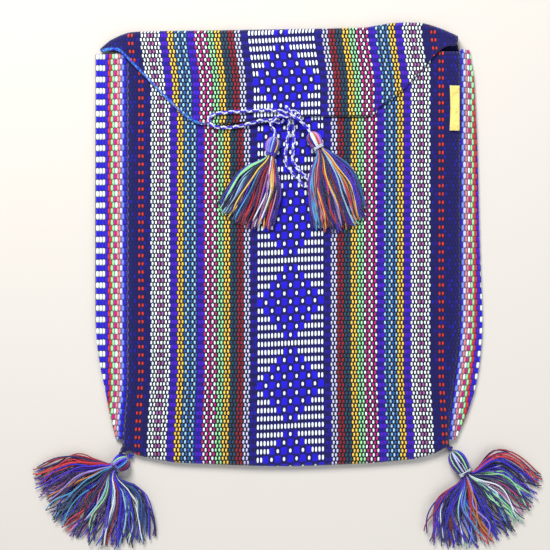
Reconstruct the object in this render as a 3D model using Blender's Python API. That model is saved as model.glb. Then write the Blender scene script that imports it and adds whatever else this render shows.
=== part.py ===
"""A handwoven flap bag that lies empty on its back, with a drawcord tied in a bow and four tassels.

+X is the bag's right as it is seen from the front, +Y runs from the bottom fold to the top fold,
and +Z is up, away from the surface that the back panel lies on. The origin is in the middle of the
back panel's underside. All sizes are in metres; MM turns a size in millimetres into metres.
"""

import math

import bmesh
import bpy
from mathutils import Matrix, Vector

MM = 0.001

# Fits: between pieces that touch, and along the sewn seams
GAP = 0.3 * MM
SEAM_GAP = 0.5 * MM

# The bag
PANEL_WIDTH = 260.5 * MM
BAG_LENGTH = 342.5 * MM
TOP_FOLD_Y = BAG_LENGTH / 2
BOTTOM_FOLD_Y = -BAG_LENGTH / 2
MOUTH_BELOW_TOP_FOLD = 18.0 * MM
CLOTH = 1.6 * MM
INSIDE_HEIGHT = 5.2 * MM
CROWN = 1.8 * MM
BOTTOM_PINCH = 1.6 * MM
PINCH_HEIGHT = 64.0 * MM
LEFT_SPLAY = 4.0 * MM
LEFT_SPLAY_HEIGHT = 70.0 * MM
RIGHT_DRAWN_IN = 9.0 * MM
RIGHT_DRAWN_IN_HEIGHT = 120.0 * MM
FOOT_STAYS = 12.0 * MM

# The flap
FLAP_DROP = 69.0 * MM
FLAP_LIP_WIDTH = 142.0 * MM
FLAP_LIP_MIDDLE_X = -9.0 * MM
FLAP_EAR = 21.5 * MM
FLAP_RIGHT_SHY = 2.0 * MM
EAR_DROOP = 6.0 * MM
FOLD_SHARE_OF_FLAP_HEIGHT = 0.86

# The side bands
BAND = 1.3 * MM
BAND_SHOWS = 25.2 * MM
BAND_FOLD_RADIUS = 1.4 * MM
LEFT_BAND_TOP_BELOW_FOLD = 19.5 * MM
RIGHT_BAND_TOP_BELOW_FOLD = 16.0 * MM
BAND_FOOT_ABOVE_BOTTOM_FOLD = 21.0 * MM

# The label
LABEL = 0.45 * MM
LABEL_LENGTH = 35.0 * MM
LABEL_SHOWS = 7.6 * MM
LABEL_FOLD_RADIUS = 0.45 * MM
LABEL_BELOW_TOP_FOLD = 45.0 * MM

# The drawcord
CORD_DIAMETER = 3.1 * MM
CORD_PITCH = CORD_DIAMETER + GAP
CORD_STEP = 2.2 * CORD_DIAMETER
CORD_BEND = math.radians(26)
KNOT_X = -3.8 * MM
KNOT_ABOVE_LIP = 0.5 * MM

# The tassels
TIE_DIAMETER = 1.8 * MM
CORNER_KNOT_DIAMETER = 5.0 * MM
CORD_TASSEL = {
    "waist": 3.2 * MM,
    "head_radius": 5.5 * MM,
    "length": 60.0 * MM,
    "thickness": 11.0 * MM,
}
CORNER_TASSEL = {
    "waist": 4.2 * MM,
    "head_radius": 6.8 * MM,
    "length": 60.0 * MM,
    "thickness": 12.0 * MM,
}
SECTION_POINTS = 36
LOCKS = 5


# Scene and material helpers

def clear_scene():
    for old in list(bpy.data.objects):
        bpy.data.objects.remove(old)


def material(name, colour, roughness=0.85):
    made = bpy.data.materials.new(name)
    made.use_nodes = True
    shader = made.node_tree.nodes["Principled BSDF"]
    shader.inputs["Base Color"].default_value = (*colour, 1.0)
    shader.inputs["Roughness"].default_value = roughness
    shader.inputs["Metallic"].default_value = 0.0
    return made


def add_object(name, data, finish):
    placed = bpy.data.objects.new(name, data)
    placed.data.materials.append(finish)
    bpy.context.scene.collection.objects.link(placed)
    return placed


def smooth_mesh(name, shape, sharp_angle):
    bmesh.ops.recalc_face_normals(shape, faces=shape.faces)
    mesh = bpy.data.meshes.new(name)
    shape.to_mesh(mesh)
    shape.free()
    mesh.shade_smooth()
    mesh.set_sharp_from_angle(angle=math.radians(sharp_angle))
    return mesh


# Curves and easing

def ease(t):
    """0 to 1 with a soft start and end."""
    t = min(1.0, max(0.0, t))
    return t * t * (3 - 2 * t)


def through(points, k, t):
    """The point a share t of the way from points[k] to points[k + 1] on a smooth curve."""
    p1 = points[k]
    p2 = points[k + 1]
    p0 = points[k - 1] if k > 0 else 2 * p1 - p2
    p3 = points[k + 2] if k + 2 < len(points) else 2 * p2 - p1
    bend = (2 * p0 - 5 * p1 + 4 * p2 - p3) * t ** 2 + (3 * p1 - p0 - 3 * p2 + p3) * t ** 3
    return 0.5 * (2 * p1 + (p2 - p0) * t + bend)


def profile(stops, t):
    """The value at t on a smooth curve through stops, each (t, value)."""
    t = min(stops[-1][0], max(stops[0][0], t))
    k = 0
    while k < len(stops) - 2 and stops[k + 1][0] < t:
        k += 1
    share = (t - stops[k][0]) / (stops[k + 1][0] - stops[k][0])
    return through([value for _, value in stops], k, share)


def smooth_route(points, step, bend):
    """Points on the smooth curve through a route's points, closer together where it bends.

    No two are further apart than a step, or than the stretch in which it turns by the bend.
    """
    fine = [through(points, k, j / 16) for k in range(len(points) - 1) for j in range(16)]
    fine.append(points[-1])
    places = [fine[0]]
    run = 0.0
    turned = 0.0
    for before, here, after in zip(fine, fine[1:], fine[2:]):
        run += (here - before).length
        turned += (here - before).angle(after - here)
        if run >= step or turned >= bend:
            places.append(here)
            run = 0.0
            turned = 0.0
    return places + [fine[-1]]


def heading(degrees):
    """A direction in the plane of the table: 0 is +X and 90 is +Y."""
    return Vector((math.cos(math.radians(degrees)), math.sin(math.radians(degrees))))


# Where the cloth lies

# How far the outline of each fold stands off its straight line, from the left to the right
TOP_FOLD_OUTLINE = [
    (0.0, -14.5 * MM),
    (0.03, -8.0 * MM),
    (0.08, -2.5 * MM),
    (0.16, -1.3 * MM),
    (0.5, 0.0),
    (0.74, 1.5 * MM),
    (0.82, 5.0 * MM),
    (0.9, 5.0 * MM),
    (0.95, 1.0 * MM),
    (1.0, -5.0 * MM),
]
BOTTOM_FOLD_OUTLINE = [
    (0.0, 14.0 * MM),
    (0.05, 8.0 * MM),
    (0.15, 3.0 * MM),
    (0.3, 1.0 * MM),
    (0.5, -0.3 * MM),
    (0.75, 2.0 * MM),
    (0.9, 5.5 * MM),
    (0.96, 10.0 * MM),
    (1.0, 16.0 * MM),
]


def mouth_y():
    return TOP_FOLD_Y - MOUTH_BELOW_TOP_FOLD


def seam_x(side, y):
    """A side seam of the bag: -1 is the left one, which flares at its foot, +1 the right one."""
    height = y - BOTTOM_FOLD_Y
    straight = side * PANEL_WIDTH / 2
    if side < 0:
        splay = ease((LEFT_SPLAY_HEIGHT - height) / (LEFT_SPLAY_HEIGHT - FOOT_STAYS))
        return straight - LEFT_SPLAY * splay
    drawn_in = ease((RIGHT_DRAWN_IN_HEIGHT - height) / (RIGHT_DRAWN_IN_HEIGHT - FOOT_STAYS))
    return straight - RIGHT_DRAWN_IN * drawn_in


def across(u, y):
    """X at a share u of the way from the left seam to the right one."""
    return seam_x(-1, y) + (seam_x(1, y) - seam_x(-1, y)) * u


def seam_height(y):
    """The middle of the front panel's cloth at the seams. The bottom corners are pinched."""
    full = CLOTH / 2 + CLOTH + INSIDE_HEIGHT
    return full - BOTTOM_PINCH * ease((BOTTOM_FOLD_Y + PINCH_HEIGHT - y) / (PINCH_HEIGHT - FOOT_STAYS))


def front_height(x, y):
    """The middle of the front panel's cloth, crowned by the air in the bag."""
    aside = x / (PANEL_WIDTH / 2)
    lengthwise = y / (BAG_LENGTH / 2)
    return seam_height(y) + CROWN * max(0.0, 1 - aside ** 2) * max(0.0, 1 - lengthwise ** 6)


def front_top(x, y):
    return front_height(x, y) + CLOTH / 2


def flap_height(x, y):
    """The middle of the flap's cloth, which lies on the front panel and droops beyond its seams."""
    past_seam = max(0.0, abs(x) - PANEL_WIDTH / 2)
    return front_height(x, y) + CLOTH + GAP - EAR_DROOP * (past_seam / FLAP_EAR) ** 2


def flap_top(x, y):
    return flap_height(x, y) + CLOTH / 2


def top_fold_point(u):
    left = seam_x(-1, TOP_FOLD_Y) - FLAP_EAR
    right = seam_x(1, TOP_FOLD_Y) - FLAP_RIGHT_SHY
    return Vector((left + (right - left) * u, TOP_FOLD_Y + profile(TOP_FOLD_OUTLINE, u)))


def bottom_fold_point(u):
    y = BOTTOM_FOLD_Y + profile(BOTTOM_FOLD_OUTLINE, u)
    return Vector((across(u, y), y))


def flap_lip_y():
    return TOP_FOLD_Y - FLAP_DROP


def flap_hem_corners():
    """The flap's hem: from the ear down the left slant, along the lip and up the right slant."""
    left = FLAP_LIP_MIDDLE_X - FLAP_LIP_WIDTH / 2
    right = FLAP_LIP_MIDDLE_X + FLAP_LIP_WIDTH / 2
    lip = flap_lip_y()
    top = mouth_y()
    return [
        (0.0, Vector((top_fold_point(0).x + 1 * MM, top + 0.3 * MM))),
        (0.05, Vector((seam_x(-1, top) - 8 * MM, top + 0.5 * MM))),
        (0.1, Vector((seam_x(-1, top) + 2 * MM, top - 8 * MM))),
        (0.24, Vector((left - 17 * MM, lip + 11 * MM))),
        (0.3, Vector((left - 1 * MM, lip - 3 * MM))),
        (0.35, Vector((left + 14 * MM, lip - 7 * MM))),
        (0.47, Vector((left + 46 * MM, lip - 3.5 * MM))),
        (0.6, Vector((right - 57 * MM, lip - 0.4 * MM))),
        (0.74, Vector((right - 5 * MM, lip + 0.3 * MM))),
        (0.79, Vector((right + 4 * MM, lip + 7 * MM))),
        (0.86, Vector((right + 23 * MM, lip + 21 * MM))),
        (0.95, Vector((seam_x(1, top) - 16 * MM, top + 1 * MM))),
        (1.0, Vector((seam_x(1, top) - 3.5 * MM, top + 5 * MM))),
    ]


# The body cloth: one strip that is the front panel, the back panel and the flap

def fold_arc(edge, inward, low, high, steps):
    """The cloth's middle round a fold whose outside reaches the edge point, from high to low.

    inward is +1 where the panels run towards +Y from the fold, and -1 where they run towards -Y.
    """
    radius = (high - low) / 2
    middle_y = edge.y + inward * (radius + CLOTH / 2)
    arc = []
    for k in range(steps + 1):
        turn = math.pi * k / steps
        y = middle_y - inward * radius * math.sin(turn)
        arc.append(Vector((edge.x, y, (low + high) / 2 + radius * math.cos(turn))))
    return arc


def body_column(u):
    """The cloth's middle along the whole strip, a share u of the way across it."""
    back = CLOTH / 2
    bottom_edge = bottom_fold_point(u)
    bottom_turn = fold_arc(bottom_edge, 1, back, front_height(bottom_edge.x, bottom_edge.y), 6)
    top_edge = top_fold_point(u)
    fold_high = FOLD_SHARE_OF_FLAP_HEIGHT * flap_height(top_edge.x, top_edge.y)
    top_turn = fold_arc(top_edge, -1, back, fold_high, 6)
    top_turn.reverse()
    column = []

    front_rows = 24
    for k in range(front_rows):
        y = mouth_y() + (bottom_turn[0].y - mouth_y()) * k / front_rows
        x = across(u, y)
        column.append(Vector((x, y, front_height(x, y))))
    column.extend(bottom_turn)

    back_rows = 22
    shoulder_y = mouth_y() + 1 * MM
    for k in range(1, back_rows + 1):
        y = bottom_turn[-1].y + (shoulder_y - bottom_turn[-1].y) * k / back_rows
        column.append(Vector((across(u, y), y, back)))
    column.extend(top_turn)

    flap_rows = 7
    hem = profile(flap_hem_corners(), u)
    start = top_turn[-1]
    for k in range(1, flap_rows + 1):
        at = start.xy.lerp(hem, k / flap_rows)
        settled = ease((start.y - at.y) / (start.y - mouth_y()))
        lying = flap_height(at.x, at.y)
        column.append(Vector((at.x, at.y, fold_high + (lying - fold_high) * settled)))
    return column


def sheet_object(name, columns, thickness, finish):
    """A cloth lofted through columns of points that lie in its middle."""
    shape = bmesh.new()
    rows = [[shape.verts.new(point) for point in column] for column in columns]
    for left, right in zip(rows, rows[1:]):
        for k in range(len(left) - 1):
            shape.faces.new((left[k], left[k + 1], right[k + 1], right[k]))
    placed = add_object(name, smooth_mesh(name, shape, 60), finish)
    thick = placed.modifiers.new("cloth thickness", "SOLIDIFY")
    thick.thickness = thickness
    thick.offset = 0
    thick.use_even_offset = True
    return placed


def make_body_cloth(finish):
    columns_across = 20
    columns = [body_column(k / columns_across) for k in range(columns_across + 1)]
    return sheet_object("body_cloth", columns, CLOTH, finish)


# The side bands: each a strip folded in half lengthwise, with its fold outwards

# Share of the band's height from its foot, and the share of its full width that shows there
LEFT_BAND_OUTLINE = [(0.0, 0.22), (0.1, 0.6), (0.2, 0.88), (0.3, 1.0), (1.0, 1.0)]
RIGHT_BAND_OUTLINE = [
    (0.0, 0.24),
    (0.06, 0.5),
    (0.13, 0.68),
    (0.25, 0.72),
    (0.5, 0.62),
    (0.75, 0.54),
    (0.93, 0.44),
    (1.0, 0.3),
]


def band_section(side, shows, y):
    """The cloth's middle across a band, from the back seam round its fold to the front seam."""
    seam = seam_x(side, y) + side * SEAM_GAP
    low = BAND / 2
    high = low + 2 * BAND_FOLD_RADIUS
    arc_middle = seam + side * (shows - BAND / 2 - BAND_FOLD_RADIUS)
    section = [Vector((seam, y, low))]
    for k in range(5):
        turn = math.pi * k / 4
        x = arc_middle + side * BAND_FOLD_RADIUS * math.sin(turn)
        section.append(Vector((x, y, (low + high) / 2 - BAND_FOLD_RADIUS * math.cos(turn))))
    rise = seam_height(y) - high
    for share in (0.35, 0.7, 1.0):
        section.append(Vector((arc_middle + (seam - arc_middle) * share, y, high + rise * ease(share))))
    return section


def make_band(name, side, outline, top_below_fold, finish):
    foot = BOTTOM_FOLD_Y + BAND_FOOT_ABOVE_BOTTOM_FOLD
    top = TOP_FOLD_Y - top_below_fold
    rows = 18
    sections = []
    for k in range(rows + 1):
        share = k / rows
        shows = BAND_SHOWS * profile(outline, share)
        sections.append(band_section(side, shows, foot + (top - foot) * share))
    return sheet_object(name, sections, BAND, finish)


# The label: a short tape, folded in half and caught in the right seam

def make_label(finish):
    rows = 6
    sections = []
    for k in range(rows + 1):
        share = k / rows
        y = TOP_FOLD_Y - LABEL_BELOW_TOP_FOLD - LABEL_LENGTH * share
        seam = seam_x(1, y) - 1 * MM
        fold = seam - LABEL_SHOWS + 0.6 * MM * math.sin(math.pi * share)
        curl = 1.2 * MM * (1 - ease(2 * share))
        base = front_top(fold, y) + GAP + LABEL / 2
        arc_middle = fold + LABEL / 2 + LABEL_FOLD_RADIUS
        section = [Vector((seam, y, base)), Vector(((seam + fold) / 2, y, base + 0.3 * curl))]
        for j in range(5):
            turn = math.pi * j / 4
            x = arc_middle - LABEL_FOLD_RADIUS * math.sin(turn)
            rise = LABEL_FOLD_RADIUS * (1 - math.cos(turn))
            section.append(Vector((x, y, base + curl + rise)))
        top = base + 2 * LABEL_FOLD_RADIUS
        section.append(Vector(((seam + fold) / 2, y, top + 0.3 * curl)))
        section.append(Vector((seam, y, top)))
        sections.append(section)
    return sheet_object("side_label", sections, LABEL, finish)


# The drawcord: its two halves come out from under the flap's lip and are tied in a bow on it

FLAP = "flap"
FRONT = "front"

# Each point is (across, up, the cloth below it, layers above that cloth), counted in cord pitches
# from the knot. The last point is followed by the head of the half's tassel.
LEFT_CORD_ROUTE = [
    (-1.15, -1.1, FRONT, 0.0),
    (-1.75, -1.65, FRONT, 0.3),
    (-2.9, -1.45, FRONT, 0.55),
    (-4.3, -1.15, FLAP, 0.0),
    (-6.2, -1.2, FLAP, 0.0),
    (-8.2, -1.65, FLAP, 0.0),
    (-10.2, -2.2, FRONT, 0.15),
    (-12.3, -2.6, FRONT, 0.0),
    (-14.4, -2.75, FRONT, 0.0),
    (-16.4, -2.65, FRONT, 0.35),
    (-17.8, -2.15, FLAP, 0.0),
    (-18.3, -1.15, FLAP, 0.0),
    (-17.8, -0.15, FLAP, 0.0),
    (-16.4, 0.4, FLAP, 0.0),
    (-14.0, 0.65, FLAP, 0.0),
    (-11.0, 0.88, FLAP, 0.0),
    (-8.0, 1.02, FLAP, 0.0),
    (-5.3, 1.12, FLAP, 0.0),
    (-3.1, 1.0, FLAP, 0.4),
    (-1.5, 0.78, FLAP, 0.9),
    (0.0, 0.62, FLAP, 1.08),
    (1.35, 0.75, FLAP, 1.05),
    (2.25, 0.42, FLAP, 0.9),
    (2.3, -0.4, FLAP, 0.85),
    (1.4, -0.72, FLAP, 1.0),
    (0.0, -0.45, FLAP, 1.08),
    (-1.5, -0.3, FLAP, 1.08),
    (-2.8, -0.55, FLAP, 1.1),
    (-3.65, -1.4, FLAP, 1.08),
    (-4.05, -2.4, FRONT, 1.1),
]
RIGHT_CORD_ROUTE = [
    (0.95, -1.0, FRONT, 0.0),
    (0.95, -1.85, FRONT, 0.0),
    (1.0, -3.1, FRONT, 0.0),
    (1.1, -4.9, FRONT, 0.0),
    (1.05, -6.8, FRONT, 0.0),
    (0.85, -8.8, FRONT, 0.0),
    (1.05, -10.8, FRONT, 0.0),
    (2.35, -12.6, FRONT, 0.0),
    (3.8, -14.1, FRONT, 0.0),
    (4.75, -15.35, FRONT, 0.0),
    (4.55, -16.35, FRONT, 0.0),
    (3.6, -16.3, FRONT, 0.0),
    (2.5, -15.1, FRONT, 0.0),
    (1.2, -13.6, FRONT, 0.0),
    (-0.2, -12.0, FRONT, 0.0),
    (-0.8, -10.3, FRONT, 0.0),
    (-0.75, -8.2, FRONT, 0.0),
    (-0.45, -6.2, FRONT, 0.0),
    (-0.2, -4.3, FRONT, 0.0),
    (-0.08, -2.8, FRONT, 0.0),
    (-0.05, -1.5, FRONT, 0.5),
    (-0.1, -0.4, FLAP, 0.0),
    (-0.3, 0.6, FLAP, 0.0),
    (-0.5, 1.45, FLAP, 0.3),
    (-0.6, 1.75, FLAP, 0.98),
    (-0.45, 1.5, FLAP, 1.8),
    (0.0, 0.65, FLAP, 2.18),
    (0.75, -0.2, FLAP, 2.2),
    (1.7, -0.95, FLAP, 2.15),
    (2.55, -1.55, FRONT, 2.3),
    (3.3, -2.1, FRONT, 1.8),
]


def knot_place():
    return Vector((KNOT_X, flap_lip_y() + KNOT_ABOVE_LIP))


def route_places(route, tassel):
    """The route's points in metres, each a cord's radius above its cloth, up to the tassel."""
    knot = knot_place()
    places = []
    for across_pitches, up_pitches, cloth, layers in route:
        x = knot.x + across_pitches * CORD_PITCH
        y = knot.y + up_pitches * CORD_PITCH
        surface = flap_top(x, y) if cloth == FLAP else front_top(x, y)
        places.append(Vector((x, y, surface + GAP + CORD_DIAMETER / 2 + layers * CORD_PITCH)))
    return places + [head_top(tassel) - heading(tassel["neck_way"]).to_3d() * CORD_PITCH]


def make_cord(name, route, tassel, finish):
    curve = bpy.data.curves.new(name, "CURVE")
    curve.dimensions = "3D"
    curve.bevel_depth = CORD_DIAMETER / 2
    curve.bevel_resolution = 2
    curve.use_fill_caps = True
    places = smooth_route(route_places(route, tassel), CORD_STEP, CORD_BEND)
    places.append(head_top(tassel) - heading(tassel["neck_way"]).to_3d() * GAP)
    line = curve.splines.new("POLY")
    line.points.add(len(places) - 1)
    for point, place in zip(line.points, places):
        point.co = (*place, 1.0)
    return add_object(name, curve, finish)


# The tassels: each a bundle of yarn with a round head, a tied waist and a fanned skirt

# Share of the head's length from its top, and share of its radius
HEAD_PROFILE = [(0.0, 0.25), (0.06, 0.58), (0.2, 0.86), (0.42, 1.0), (0.66, 0.94), (0.84, 0.86)]

# Share of the skirt's length from the tie, share of its spread and share of its thickness
SKIRT_PROFILE = [
    (0.07, 0.3, 0.72),
    (0.16, 0.66, 0.9),
    (0.3, 0.88, 1.0),
    (0.48, 1.0, 0.96),
    (0.68, 1.0, 0.84),
    (0.86, 0.98, 0.66),
    (1.0, 0.96, 0.4),
]


def on_front(x, y):
    return front_top(x, y) + GAP


def on_table(x, y):
    return 0.0


def cord_tassels():
    """Where the two tassels of the drawcord lie. The right one lies on the hanging loop's end."""
    knot = knot_place()
    length = CORD_TASSEL["length"]
    left = dict(CORD_TASSEL, lies_on=on_front, neck_way=-102, skirt_way=-113, spread=24)
    left.update(tie=knot + Vector((-4.15, -8.9)) * CORD_PITCH, head=13 * MM, lift=0.0)
    left.update(length=0.97 * length, short_sides=0.07, bulge=1.1, lopsided=0.0)
    right = dict(CORD_TASSEL, lies_on=on_front, neck_way=-61, skirt_way=-73, spread=20)
    right.update(tie=knot + Vector((6.65, -7.4)) * CORD_PITCH, head=12.5 * MM, lift=2 * MM)
    right.update(length=1.08 * length, short_sides=0.08, bulge=1.6, lopsided=-0.35)
    return left, right


def corner_knot_places():
    """The small knots at the bag's bottom corners, each with the direction that it leaves in."""
    reach = CORNER_KNOT_DIAMETER / 2 + GAP
    places = []
    for u, leaves in ((0.03, -118), (1.0, -58.7)):
        edge = bottom_fold_point(u)
        height = (CLOTH / 2 + front_height(edge.x, edge.y)) / 2
        places.append(((edge + heading(leaves) * reach).to_3d() + Vector((0, 0, height)), reach))
    return places


def corner_tassels():
    """Where the two tassels of the bottom corners lie, each from its knot outwards."""
    (left_knot, reach), (right_knot, _) = corner_knot_places()
    length = CORNER_TASSEL["length"]
    left = dict(CORNER_TASSEL, lies_on=on_table, neck_way=-145, skirt_way=-121, spread=60)
    left.update(tie=left_knot.xy + heading(-145) * (reach + 10.8 * MM), head=10.8 * MM, lift=0.0)
    left.update(length=1.05 * length, short_sides=0.05, bulge=0.7, lopsided=0.0)
    left.update(neck_height=left_knot.z)
    right = dict(CORNER_TASSEL, lies_on=on_table, neck_way=-58.7, skirt_way=-60, spread=60)
    right.update(tie=right_knot.xy + heading(-58.7) * (reach + 18.5 * MM), head=18.5 * MM, lift=0.0)
    right.update(length=0.98 * length, short_sides=0.03, bulge=1.0, lopsided=-0.4)
    right.update(neck_height=right_knot.z)
    return left, right


def waist_height(tassel):
    return tassel["lies_on"](*tassel["tie"]) + tassel["lift"] + tassel["head_radius"]


def head_top(tassel):
    """The middle of the flat top of a tassel's head, where its cord or knot meets it."""
    at = tassel["tie"] - heading(tassel["neck_way"]) * tassel["head"]
    return Vector((at.x, at.y, tassel.get("neck_height", waist_height(tassel))))


def round_section(middle, way, radius):
    """A ring of points round an axis that points along a way."""
    side = heading(way - 90).to_3d()
    ring = []
    for k in range(SECTION_POINTS):
        turn = 2 * math.pi * (k + 0.5) / SECTION_POINTS
        ring.append(middle + side * radius * math.cos(turn) + Vector((0, 0, radius * math.sin(turn))))
    return ring


def head_sections(tassel):
    """Rings from the top of the head to the waist that the tie goes round."""
    axis = heading(tassel["neck_way"]).to_3d()
    top = head_top(tassel)
    waist_z = waist_height(tassel)
    under = waist_z - tassel["head_radius"]
    waist = tassel["waist"]
    rings = []
    for share, full in HEAD_PROFILE:
        radius = tassel["head_radius"] * full
        middle = top + axis * tassel["head"] * share
        middle.z = max(top.z + (waist_z - top.z) * ease(share / 0.42), under + radius)
        rings.append(round_section(middle, tassel["neck_way"], radius))
    for before_tie in (TIE_DIAMETER * 0.65, -TIE_DIAMETER * 0.65):
        middle = tassel["tie"].to_3d() - axis * before_tie
        middle.z = waist_z
        rings.append(round_section(middle, tassel["neck_way"], waist))
    return rings


def skirt_section(tassel, share, spread, thick):
    """A flat curved section through the skirt, a share of its length from the tie."""
    middle_way = tassel["neck_way"] + (tassel["skirt_way"] - tassel["neck_way"]) * ease(share / 0.3)
    aside = heading(middle_way - 90)
    half = tassel["thickness"] / 2 * thick
    centre = tassel["head_radius"] + (half - tassel["head_radius"]) * ease(share / 0.3)
    lift = tassel["lift"] * (1 - ease((share - 0.65) / 0.35))
    ring = []
    for k in range(SECTION_POINTS):
        turn = 2 * math.pi * (k + 0.5) / SECTION_POINTS
        swing = math.cos(turn)
        lock = share * math.cos(LOCKS * math.pi * swing)
        bulge = 1 + tassel["bulge"] * (1 - share) ** 1.5 * (1 + tassel["lopsided"] * swing)
        way = heading(middle_way - tassel["spread"] * spread * bulge * swing)
        length = tassel["length"] * share * (1 - tassel["short_sides"] * swing ** 2 + 0.03 * lock)
        at = tassel["tie"] + way * length + aside * tassel["waist"] * swing
        rise = half * math.sin(turn)
        if rise > 0:
            rise *= 1 + 0.12 * lock
        z = tassel["lies_on"](at.x, at.y) + lift + centre + rise
        ring.append(Vector((at.x, at.y, z)))
    return ring


def stitch_end(shape, ring):
    """Closes a flat ring with a strip of faces between its upper and its lower half."""
    count = len(ring)
    for k in range(count // 2 - 1):
        shape.faces.new((ring[k], ring[k + 1], ring[count - 2 - k], ring[count - 1 - k]))


def make_tassel(name, tassel, finish):
    shape = bmesh.new()
    sections = head_sections(tassel)
    sections += [skirt_section(tassel, *stop) for stop in SKIRT_PROFILE]
    rings = [[shape.verts.new(point) for point in section] for section in sections]
    for above, below in zip(rings, rings[1:]):
        for k in range(SECTION_POINTS):
            n = (k + 1) % SECTION_POINTS
            shape.faces.new((above[k], above[n], below[n], below[k]))
    stitch_end(shape, rings[0])
    stitch_end(shape, rings[-1])
    return add_object(name, smooth_mesh(name, shape, 50), finish)


def make_tie(name, tassel, finish):
    """A ring of thread round a tassel's waist."""
    steps = 24
    thread_steps = 8
    wound_radius = tassel["waist"] + GAP + TIE_DIAMETER / 2
    axis = heading(tassel["neck_way"]).to_3d()
    side = heading(tassel["neck_way"] - 90).to_3d()
    middle = tassel["tie"].to_3d()
    middle.z = waist_height(tassel)
    shape = bmesh.new()
    rings = []
    for k in range(steps):
        turn = 2 * math.pi * k / steps
        outward = side * math.cos(turn) + Vector((0, 0, math.sin(turn)))
        ring = []
        for j in range(thread_steps):
            roll = 2 * math.pi * j / thread_steps
            off = outward * math.cos(roll) + axis * math.sin(roll)
            ring.append(shape.verts.new(middle + outward * wound_radius + off * TIE_DIAMETER / 2))
        rings.append(ring)
    for k in range(steps):
        here, after = rings[k], rings[(k + 1) % steps]
        for j in range(thread_steps):
            n = (j + 1) % thread_steps
            shape.faces.new((here[j], here[n], after[n], after[j]))
    return add_object(name, smooth_mesh(name, shape, 60), finish)


def make_corner_knot(name, place, finish):
    shape = bmesh.new()
    bmesh.ops.create_uvsphere(
        shape,
        u_segments=16,
        v_segments=10,
        radius=CORNER_KNOT_DIAMETER / 2,
        matrix=Matrix.Translation(place),
    )
    return add_object(name, smooth_mesh(name, shape, 60), finish)


def build():
    clear_scene()
    body_weave = material("body_weave", (0.035, 0.008, 0.30))
    band_weave = material("band_weave", (0.20, 0.20, 0.60))
    cord_braid = material("cord_braid", (0.10, 0.05, 0.62))
    tassel_yarn = material("tassel_yarn", (0.06, 0.02, 0.42))
    tie_thread = material("tie_thread", (0.34, 0.28, 0.72))
    label_tape = material("label_tape", (0.80, 0.68, 0.24))

    make_body_cloth(body_weave)
    make_band("left_band", -1, LEFT_BAND_OUTLINE, LEFT_BAND_TOP_BELOW_FOLD, band_weave)
    make_band("right_band", 1, RIGHT_BAND_OUTLINE, RIGHT_BAND_TOP_BELOW_FOLD, band_weave)
    make_label(label_tape)

    left, right = cord_tassels()
    make_cord("drawcord_left", LEFT_CORD_ROUTE, left, cord_braid)
    make_cord("drawcord_right", RIGHT_CORD_ROUTE, right, cord_braid)
    make_tassel("cord_tassel_left", left, tassel_yarn)
    make_tassel("cord_tassel_right", right, tassel_yarn)
    make_tie("cord_tie_left", left, tie_thread)
    make_tie("cord_tie_right", right, tie_thread)

    left, right = corner_tassels()
    make_tassel("corner_tassel_left", left, tassel_yarn)
    make_tassel("corner_tassel_right", right, tassel_yarn)
    make_tie("corner_tie_left", left, tie_thread)
    make_tie("corner_tie_right", right, tie_thread)
    (left_knot, _), (right_knot, _) = corner_knot_places()
    make_corner_knot("corner_knot_left", left_knot, tie_thread)
    make_corner_knot("corner_knot_right", right_knot, tie_thread)


build()
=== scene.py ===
# %% [markdown]
# # A handwoven flap bag with a drawcord bow and four tassels
#
# The bag lies empty and flat on a table and is seen from straight above. Its body is one strip of
# striped cotton: front, round the bottom, back, round the top, flap. Two folded bands close its
# sides. A braided drawcord comes out at the mouth and is tied in a bow, and its ends and the two
# bottom corners carry yarn tassels. The CAD model is loaded first, as a frame that stays fixed.

# %% Load the frame
import math
import random

import bpy
import numpy as np
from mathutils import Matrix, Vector, noise


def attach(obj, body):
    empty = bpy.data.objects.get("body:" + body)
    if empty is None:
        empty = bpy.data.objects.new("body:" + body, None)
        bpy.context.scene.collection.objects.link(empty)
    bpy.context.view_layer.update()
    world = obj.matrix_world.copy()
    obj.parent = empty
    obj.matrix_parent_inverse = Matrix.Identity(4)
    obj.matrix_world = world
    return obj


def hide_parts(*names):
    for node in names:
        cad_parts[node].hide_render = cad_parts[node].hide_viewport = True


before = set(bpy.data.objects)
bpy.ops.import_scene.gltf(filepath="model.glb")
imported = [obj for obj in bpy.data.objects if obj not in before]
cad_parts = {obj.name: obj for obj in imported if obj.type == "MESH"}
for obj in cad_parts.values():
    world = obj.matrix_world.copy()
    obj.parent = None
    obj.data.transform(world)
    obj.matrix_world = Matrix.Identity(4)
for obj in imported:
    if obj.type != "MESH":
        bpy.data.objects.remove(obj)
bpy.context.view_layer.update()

MM = 0.001

# %% [markdown]
# ## The camera
#
# The photograph looks straight down, so the camera does too. A long lens far away keeps the flat
# bag's outline free of perspective. The lens follows from how much of the table the view shows.

# %% The camera
VIEW_MIDDLE = (-14.75 * MM, -21.4 * MM)
VIEW_WIDTH = 429 * MM
CAMERA_HEIGHT = 0.95
BAG_TOP = 10 * MM

camera_data = bpy.data.cameras.new("camera")
camera_data.lens = camera_data.sensor_width * (CAMERA_HEIGHT - BAG_TOP) / VIEW_WIDTH
camera = bpy.data.objects.new("camera", camera_data)
camera.location = (*VIEW_MIDDLE, CAMERA_HEIGHT)
bpy.context.scene.collection.objects.link(camera)
bpy.context.scene.camera = camera
bpy.context.scene.view_settings.view_transform = "Standard"
print("camera lens:", round(camera_data.lens, 1), "mm")

# %% [markdown]
# ## Helpers for shader nodes
#
# Every finish here is made of sums on coordinates, so a short function that adds one Math node
# keeps the materials readable. Numbers go on the node's own sockets and outputs are linked.

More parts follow.
